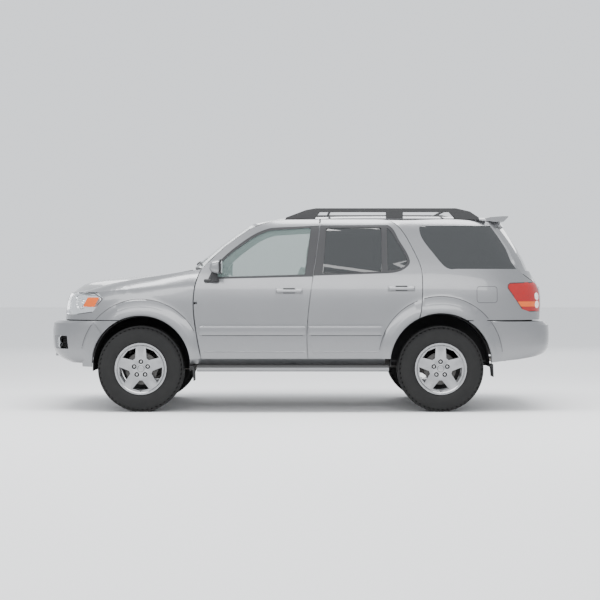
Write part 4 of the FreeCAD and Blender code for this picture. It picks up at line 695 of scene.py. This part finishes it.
handle_lean = 9.0
handle_places = (("front", -0.107, 1.190, 0.9393), ("rear", 0.997, 1.214, 0.9358))
bezel, pocket, grip, mount = (0.268, 0.008, 0.062), (0.118, 0.008, 0.056), (0.250, 0.018, 0.030), (0.066, 0.026, 0.044)
mount_reach = 0.094

# Black for the mirrors' rims, feet and necks and the lamps' gaskets and the fuel door's gap; the same black is also
# painted shade in the handles' pockets, under the door mouldings and along the flares' joints.
black_and_painted_shade, shader = finish_of("black_parts_and_painted_shade", (0.015, 0.015, 0.016), 0.5)
roughen(shader, cloud(object_place(), 500.0, 2.0), 0.2, 0.0004)


def rounded_block(name, size, place, edge, finish, body, turn=(0, 0, 0), segments=4, front_share=1.0):
    """A block with rounded edges; the front share is the height left at its front end."""
    work = bmesh.new()
    bmesh.ops.create_cube(work, size=1.0)
    for vert in work.verts:
        share = 1.0 if vert.co.x > 0 else front_share
        vert.co = Vector((vert.co.x * size[0], vert.co.y * size[1], vert.co.z * size[2] * share))
    bmesh.ops.bevel(work, geom=work.edges[:], offset=edge, segments=segments, profile=0.5, affect="EDGES",
                    material=-1)
    matrix = Matrix.Translation(place)
    for angle, axis in zip(turn, "XYZ"):
        matrix = matrix @ Matrix.Rotation(math.radians(angle), 4, axis)
    bmesh.ops.transform(work, matrix=matrix, verts=work.verts)
    piece = piece_from(name, work, finish, smooth_angle=30)
    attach(piece, body)
    return piece


for side, sign in sides:
    for end, x, z, skin in handle_places:
        body, turn = f"{end}_door_{side}", (sign * handle_lean, 0, 0)
        rounded_block(f"{end}_handle_bezel_{side}", bezel, (x, sign * (skin + 0.001), z), 0.0039,
                      silver, body, turn)
        # The finger pocket: a flat black block of painted shade laid on the skin under the grip.
        rounded_block(f"{end}_handle_painted_shade_{side}", pocket, (x, sign * (skin + 0.0022), z + 0.002), 0.0039,
                      black_and_painted_shade, body, turn)
        rounded_block(f"{end}_handle_grip_{side}", grip, (x, sign * (skin + 0.022), z - 0.001), 0.0085,
                      silver, body, turn, 5)
        for tip, reach in (("front", -mount_reach), ("rear", mount_reach)):
            rounded_block(f"{end}_handle_mount_{side}_{tip}", mount, (x + reach, sign * (skin + 0.010), z - 0.001),
                          0.0120, silver, body, turn, 5)


# The door mirrors: painted caps over glass in a black rim, each on a black foot and neck that is bolted
# to the front door's window corner.

mirror_y, mirror_z = 1.060, 1.425

mirror_glass, shader = finish_of("mirror_glass", (0.86, 0.87, 0.88), 0.02, 1.0)
feed(shader, "Roughness", cloud(object_place(), 5.0) * 0.01 + 0.01)

for side, sign in sides:
    body, middle = f"front_door_{side}", sign * mirror_y
    cap = rounded_block(f"mirror_cap_{side}", (0.112, 0.196, 0.146), (-0.823, middle, mirror_z), 0.042,
                        silver, body, segments=6, front_share=0.66)
    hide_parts(f"mirror_{side}")
    rounded_block(f"mirror_rim_{side}", (0.016, 0.198, 0.148), (-0.770, middle, mirror_z), 0.0075,
                  black_and_painted_shade, body)
    rounded_block(f"mirror_foot_{side}", (0.150, 0.046, 0.030), (-0.868, sign * 0.938, 1.292), 0.012,
                  black_and_painted_shade, body)
    rounded_block(f"mirror_neck_{side}", (0.070, 0.052, 0.096), (-0.838, sign * 0.972, 1.332), 0.018,
                  black_and_painted_shade, body)
    rounded_block(f"mirror_pane_{side}", (0.004, 0.160, 0.112), (-0.7605, middle, mirror_z), 0.0018,
                  mirror_glass, body, segments=2)


# On the tailgate: a blank pressed aluminium plate held by four steel screws, and above it a painted pull
# bar that is bolted through the skin over its pocket, drawn as a flat black block of painted shade.

plate_white, shader = finish_of("blank_plate", (0.80, 0.80, 0.78), 0.35, 0.1, Coat_Weight=0.5)
feed(shader, "Roughness", cloud(object_place(), 30.0) * 0.1 + 0.3)

rounded_block("blank_rear_plate", (0.0022, 0.304, 0.152), (2.4654, 0, 1.084), 0.001, plate_white,
              "tailgate", segments=2)
screws = [(across, up) for up in (1.0237, 1.1443) for across in (-0.0889, 0.0889)]
for number, (across, up) in enumerate(screws, 1):
    bowl(f"plate_screw_{number}", (2.4668, across, up), (1, 0, 0), 0.006, 0.0, nut_steel, "tailgate",
         segments=16, dome=0.003)
rounded_block("tailgate_handle_bar", (0.020, 0.520, 0.046), (2.462, 0, 1.212), 0.009, silver,
              "tailgate", (0, -10, 0), 5)
# The pull bar's pocket: a flat black block of painted shade.
rounded_block("tailgate_handle_painted_shade", (0.006, 0.300, 0.030), (2.452, 0, 1.178), 0.0028, black_and_painted_shade,
              "tailgate")


# The mesh behind the grille's slots and the lower intake: thin black moulded bars, crossed and clipped
# to the back of each opening.

bar_wide, bar_deep = 0.004, 0.006


def bar_mesh(name, x, half, heights, pitch):
    """Thin crossed bars, as one piece."""
    low, high = heights
    upright = Matrix.Diagonal((bar_deep, bar_wide, high - low, 1))
    level = Matrix.Diagonal((bar_deep, 2 * half, bar_wide, 1))
    work = bmesh.new()
    for step in range(int(2 * half / pitch) + 1):
        middle = Matrix.Translation((x, -half + step * pitch, (low + high) / 2))
        bmesh.ops.create_cube(work, size=1.0, matrix=middle @ upright)
    for step in range(int((high - low) / pitch) + 1):
        middle = Matrix.Translation((x + bar_wide, 0, low + step * pitch))
        bmesh.ops.create_cube(work, size=1.0, matrix=middle @ level)
    piece = piece_from(name, work, moulded_black)
    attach(piece, "body")


bar_mesh("grille_mesh", -2.318, 0.40, (0.925, 1.125), 0.025)
bar_mesh("intake_mesh", -2.440, 0.42, (0.600, 0.728), 0.032)


# Protective mouldings along the doors: long silver plastic strips with rounded edges, clipped over the
# pressed swage, with a thin black line of painted shade under each one's lower edge, and a slim bead near the sill.

door_spans = (("front", -0.985, 0.050, 0.0), ("rear", 0.092, 0.800, 0.03))
strip_steps = 40
end_proud, end_height = (0.45, 0.85, 1.0), (0.86, 0.97, 1.0)


def on_side(tree, sign, x, z, out):
    """The place on one side's surface at x and z, moved outward, or None where nothing is met."""
    found = tree.ray_cast(Vector((x, sign * beside, z)), Vector((0, -sign, 0)))[0]
    return None if found is None else Vector((x, found.y + sign * out, z))


def sheet_through(rows):
    """A grid laid through rows of places; a row of None leaves a break."""
    wide = len(next(row for row in rows if row))
    work = bmesh.new()
    bmesh.ops.create_grid(work, x_segments=wide - 1, y_segments=len(rows) - 1, size=1.0)
    verts = work.verts[:]
    for number, row in enumerate(rows):
        for vert, place in zip(verts[number * wide:(number + 1) * wide], row or ()):
            vert.co = place
    missing = [vert for number, row in enumerate(rows) if not row
               for vert in verts[number * wide:(number + 1) * wide]]
    bmesh.ops.delete(work, geom=missing, context="VERTS")
    bmesh.ops.delete(work, geom=[vert for vert in work.verts if not vert.link_faces], context="VERTS")
    return work


def door_strip(name, node, x_start, x_end, z_mid, height, proud, finish):
    """A closed-ended strip that follows the door's own surface, from ray casts at even stations."""
    tree, sign = surface_of(node), -1 if node.endswith("left") else 1
    shape = ((-0.50, -0.004), (-0.50, 0.35 * proud), (-0.46, 0.8 * proud), (-0.38, proud), (0.30, proud * 1.05),
             (0.42, 0.75 * proud), (0.50, 0.3 * proud), (0.50, -0.004))
    rows = []
    for step in range(strip_steps + 1):
        from_end = min(step, strip_steps - step, 2)
        x = x_start + (x_end - x_start) * step / strip_steps
        rows.append([on_side(tree, sign, x, z_mid + up * height * end_height[from_end],
                             out * end_proud[from_end] if out > 0 else out) for up, out in shape])
    work = sheet_through(rows)
    verts = work.verts[:]
    for end in (verts[:len(shape)], verts[-len(shape):]):
        bmesh.ops.contextual_create(work, geom=[edge for edge in work.edges if all(v in end for v in edge.verts)])
    bmesh.ops.recalc_face_normals(work, faces=work.faces)
    piece = piece_from(name, work, finish, smooth_angle=38)
    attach(piece, body_of_node(node))


for side, sign in sides:
    for end, x_start, x_end, bead_short in door_spans:
        door = f"{end}_door_{side}"
        door_strip(f"{end}_door_strip_{side}", door, x_start, x_end, 0.803, 0.092, 0.007, silver)
        # A thin black line of painted shade under the moulding's lower edge.
        door_strip(f"{end}_door_strip_foot_{side}", door, x_start, x_end, 0.7545, 0.006, 0.0025, black_and_painted_shade)
        door_strip(f"{end}_sill_bead_{side}", door, x_start + 0.03, x_end - bead_short, 0.590, 0.014, 0.0045,
                   silver)


# Arch flares, with a crisp outer edge over the pressed panels, and the thin seams that the eye reads on
# the side: the joint round each flare, black as its joint and as painted shade under its lip, the lamps' rubber
# gaskets and the fuel door's gap.

largest_step = 0.03
flare_steps = 48
front_arch, front_flare = (0.4595, 0.490), (0.507, 0.600)
rear_arch, rear_flare = (0.4735, 0.500), (0.5275, 0.608)
flare_rim = ((0.03, 0.0005), (0.05, 0.004), (0.12, 0.005), (0.80, 0.0052), (0.93, 0.0046), (0.985, 0.0024),
             (1.0, -0.003))
flare_joint_line_shade = ((0.995, 0.0004), (1.012, 0.0006), (1.03, 0.0004))
headlamp_outline = ((-2.205, 1.168), (-2.035, 1.166), (-1.950, 1.113), (-2.054, 0.982), (-2.215, 0.960))
tail_lamp_outline = ((2.330, 1.276), (2.072, 1.266), (2.050, 1.244), (2.050, 1.218), (2.190, 1.016),
                     (2.270, 0.989), (2.340, 0.989))
fuel_door = (1.839, 1.155, 0.100, 0.080, 0.030)


def laid_strip(name, tree, sign, sections, finish, body):
    """A strip over the side from cross-sections of (x, z, out), each ray cast onto the surface below it."""
    rows = []
    for section in sections:
        row = [on_side(tree, sign, *point) for point in section]
        torn = None in row or max(abs(a.y - b.y) for a, b in zip(row, row[1:])) >= largest_step
        rows.append(None if torn else row)
    work = sheet_through(rows)
    work.normal_update()
    bmesh.ops.reverse_faces(work, faces=[face for face in work.faces if face.normal.y * sign < 0])
    piece = piece_from(name, work, finish, smooth_angle=38)
    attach(piece, body)


def flare_sections(x_axle, arch, flare, first, last, rim):
    """Across a flare from its lip to its outer edge, at angles from first to last."""
    (low_z, low_r), (high_z, high_r) = arch, flare
    rows = []
    for step in range(flare_steps + 1):
        t = math.radians(first + (last - first) * step / flare_steps)
        inner = Vector((x_axle + low_r * math.cos(t), low_z + low_r * math.sin(t)))
        outer = Vector((x_axle + high_r * math.cos(t), high_z + high_r * math.sin(t)))
        rows.append([(*inner.lerp(outer, share), out) for share, out in rim])
    return rows


def rounded_loop(x, z, half_x, half_z, corner, width):
    """Cross-sections round a rounded rectangle, its straight runs cut into short steps."""
    centres = [(x + sx * (half_x - corner), z + sz * (half_z - corner))
               for sx, sz in ((1, 1), (-1, 1), (-1, -1), (1, -1))]
    rows = []
    for quarter, (cx, cz) in enumerate(centres):
        nx, nz = centres[(quarter + 1) % 4]
        places = [(90 * quarter + 15 * step, cx, cz) for step in range(7)]
        places += [(90 * quarter + 90, cx + (nx - cx) * k / 8, cz + (nz - cz) * k / 8) for k in range(1, 8)]
        for degrees, px, pz in places:
            t = math.radians(degrees)
            rows.append([(px + r * math.cos(t), pz + r * math.sin(t), 0.0008)
                         for r in (corner - width / 2, corner + width / 2)])
    return rows + rows[:1]


def outline_rows(points, width, out=0.0010, step=0.02):
    """Cross-sections along an outline of (x, z) points, in short steps."""
    rows = []
    for (ax, az), (bx, bz) in zip(points, points[1:]):
        length = math.hypot(bx - ax, bz - az)
        nx, nz = -(bz - az) / length * width / 2, (bx - ax) / length * width / 2
        count = max(1, int(length / step))
        for k in range(count + 1):
            px, pz = ax + (bx - ax) * k / count, az + (bz - az) * k / count
            rows.append([(px - nx, pz - nz, out), (px + nx, pz + nz, out)])
    return rows


for side, sign in sides:
    for name, nodes, axle, arch, flare, first, last, body in (
            ("front_flare", ("front_fenders", "front_bumper"), "front", front_arch, front_flare, 5, 169, "body"),
            ("door_flare", (f"rear_door_{side}",), "rear", rear_arch, rear_flare, 112, 172, f"rear_door_{side}"),
            ("rear_flare", ("quarter_panels", "rear_bumper"), "rear", rear_arch, rear_flare, 6, 108, "body")):
        tree = surface_of(*nodes)
        laid_strip(f"{name}_{side}", tree, sign, flare_sections(axle_x[axle], arch, flare, first, last, flare_rim),
                   silver, body)
        # The black line round each flare's outer edge: its joint with the panel, and painted shade under the lip.
        laid_strip(f"{name}_joint_and_shade_{side}", tree, sign,
                   flare_sections(axle_x[axle], arch, flare, first, last, flare_joint_line_shade),
                   black_and_painted_shade, body)
for side, sign in sides:
    laid_strip(f"headlamp_gasket_{side}", surface_of("headlamps", "front_fenders"), sign,
               outline_rows(headlamp_outline, 0.008), black_and_painted_shade, "body")
    laid_strip(f"tail_lamp_gasket_{side}", surface_of("tail_lamps", "quarter_panels"), sign,
               outline_rows(tail_lamp_outline, 0.007), black_and_painted_shade, "body")
laid_strip("fuel_door_seam", surface_of("quarter_panels"), -1, rounded_loop(*fuel_door, 0.004), black_and_painted_shade,
           "body")


# The seats: foam cushions in woven grey cloth with piped seams, on dark stands that are bolted to the
# floor, in three rows of two, three and two places.

base_long, base_thick, back_thick, head_thick, head_high = 0.54, 0.160, 0.122, 0.078, 0.165
side_gap, head_room, stand_drop, stand_long = 0.012, 0.19, 0.15, 0.44
seam_spots, seam_width, seam_dent = (-0.55, 0.55), 0.035, 0.035

cloth, shader = finish_of("grey_seat_cloth", (0.22, 0.21, 0.20), 0.92, Sheen_Weight=0.3)
weave = cloud(object_place(), 650.0, 2.0)
feed(shader, "Base Color", blend_colour(weave, (0.17, 0.165, 0.155), (0.29, 0.28, 0.265)))
roughen(shader, weave, 0.5, 0.0012)


def cushion(name, size, place, lean, seams, node=None):
    """A stuffed pad: a subdivided block swollen between its seams, in cloth."""
    work = bmesh.new()
    bmesh.ops.create_cube(work, size=2.0)
    bmesh.ops.subdivide_edges(work, edges=work.edges[:], cuts=23, use_grid_fill=True)
    for vert in work.verts:
        swell = 1.0 - 0.16 * sum(abs(c) ** 6 for c in vert.co) / 3
        pad = vert.co.copy()
        for k in range(3):
            others = max(abs(vert.co[(k + 1) % 3]), abs(vert.co[(k + 2) % 3]))
            pad[k] = vert.co[k] * (1 - 0.10 * others ** 8) * swell
        from_seam = min([abs(vert.co.y - seam) for seam in seams] or [1.0])
        pad *= 1 - seam_dent * math.exp(-(from_seam / seam_width) ** 2)
        vert.co = Vector([pad[k] * size[k] / 2 for k in range(3)])
    matrix = Matrix.Translation(place) @ Matrix.Rotation(math.radians(lean), 4, "Y")
    bmesh.ops.transform(work, matrix=matrix, verts=work.verts)
    bmesh.ops.recalc_face_normals(work, faces=work.faces)
    piece = piece_from(name, work, cloth, smooth_angle=60)
    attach(piece, "body")
    if node:
        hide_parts(node)


def seat_row(name, node, x, spans, floor_z, lean, cushion_z, top_z):
    """Base and back for each span, a headrest over it, and a dark stand, all inside the model's block."""
    tilt = math.degrees(math.atan(lean))
    rise = top_z - cushion_z
    back_rise = rise - head_room
    stand_top = cushion_z - stand_drop
    for number, (y0, y1) in enumerate(spans, 1):
        width, middle = y1 - y0 - side_gap, (y0 + y1) / 2
        tag = f"{name}_{number}"
        cushion(tag + "_base", (base_long, width, base_thick), (x - 0.205, middle, cushion_z - 0.070), 0,
                seam_spots, node if number == 1 else None)
        cushion(tag + "_back", (back_thick, width, back_rise),
                (x + 0.070 + lean * back_rise / 2, middle, cushion_z + back_rise / 2 - 0.02), tilt, seam_spots)
        cushion(tag + "_headrest", (head_thick, min(0.27, width * 0.5), head_high),
                (x + 0.072 + lean * rise, middle, top_z - 0.088), tilt * 0.4, ())
        rounded_block(tag + "_stand", (stand_long, width * 0.7, stand_top - floor_z),
                      (x - 0.18, middle, (stand_top + floor_z) / 2), 0.012, moulded_black, "body")


seat_row("front_seat", "front_seats", -0.17, ((-0.68, -0.18), (0.18, 0.68)), 0.574, 0.26, 0.874, 1.66)
seat_row("second_seat", "second_row_seat", 0.738, ((-0.64, -0.22), (-0.22, 0.22), (0.22, 0.64)), 0.574, 0.22,
         0.88, 1.64)
seat_row("third_seat", "third_row_seat", 1.70, ((-0.56, 0.0), (0.0, 0.56)), 0.772, 0.20, 1.06, 1.56)


# On the dashboard: a hood over the instrument cluster, a black centre stack and four round air vents,
# all moulded plastic clipped into the panel.

vent_places = ((-0.66, 1.17), (-0.16, 1.20), (0.16, 1.20), (0.66, 1.17))

rounded_block("cluster_hood", (0.150, 0.380, 0.080), (-0.795, -0.42, 1.262), 0.022, grained_trim, "body",
              (0, -14, 0), 5)
rounded_block("centre_stack", (0.060, 0.300, 0.280), (-0.730, 0.0, 1.090), 0.018, moulded_black,
              "body", (0, -12, 0), 5)
for number, (across, up) in enumerate(vent_places, 1):
    bowl(f"air_vent_{number}", (-0.722, across, up), (1, 0, 0.25), 0.034, 0.02, moulded_black,
         segments=24)
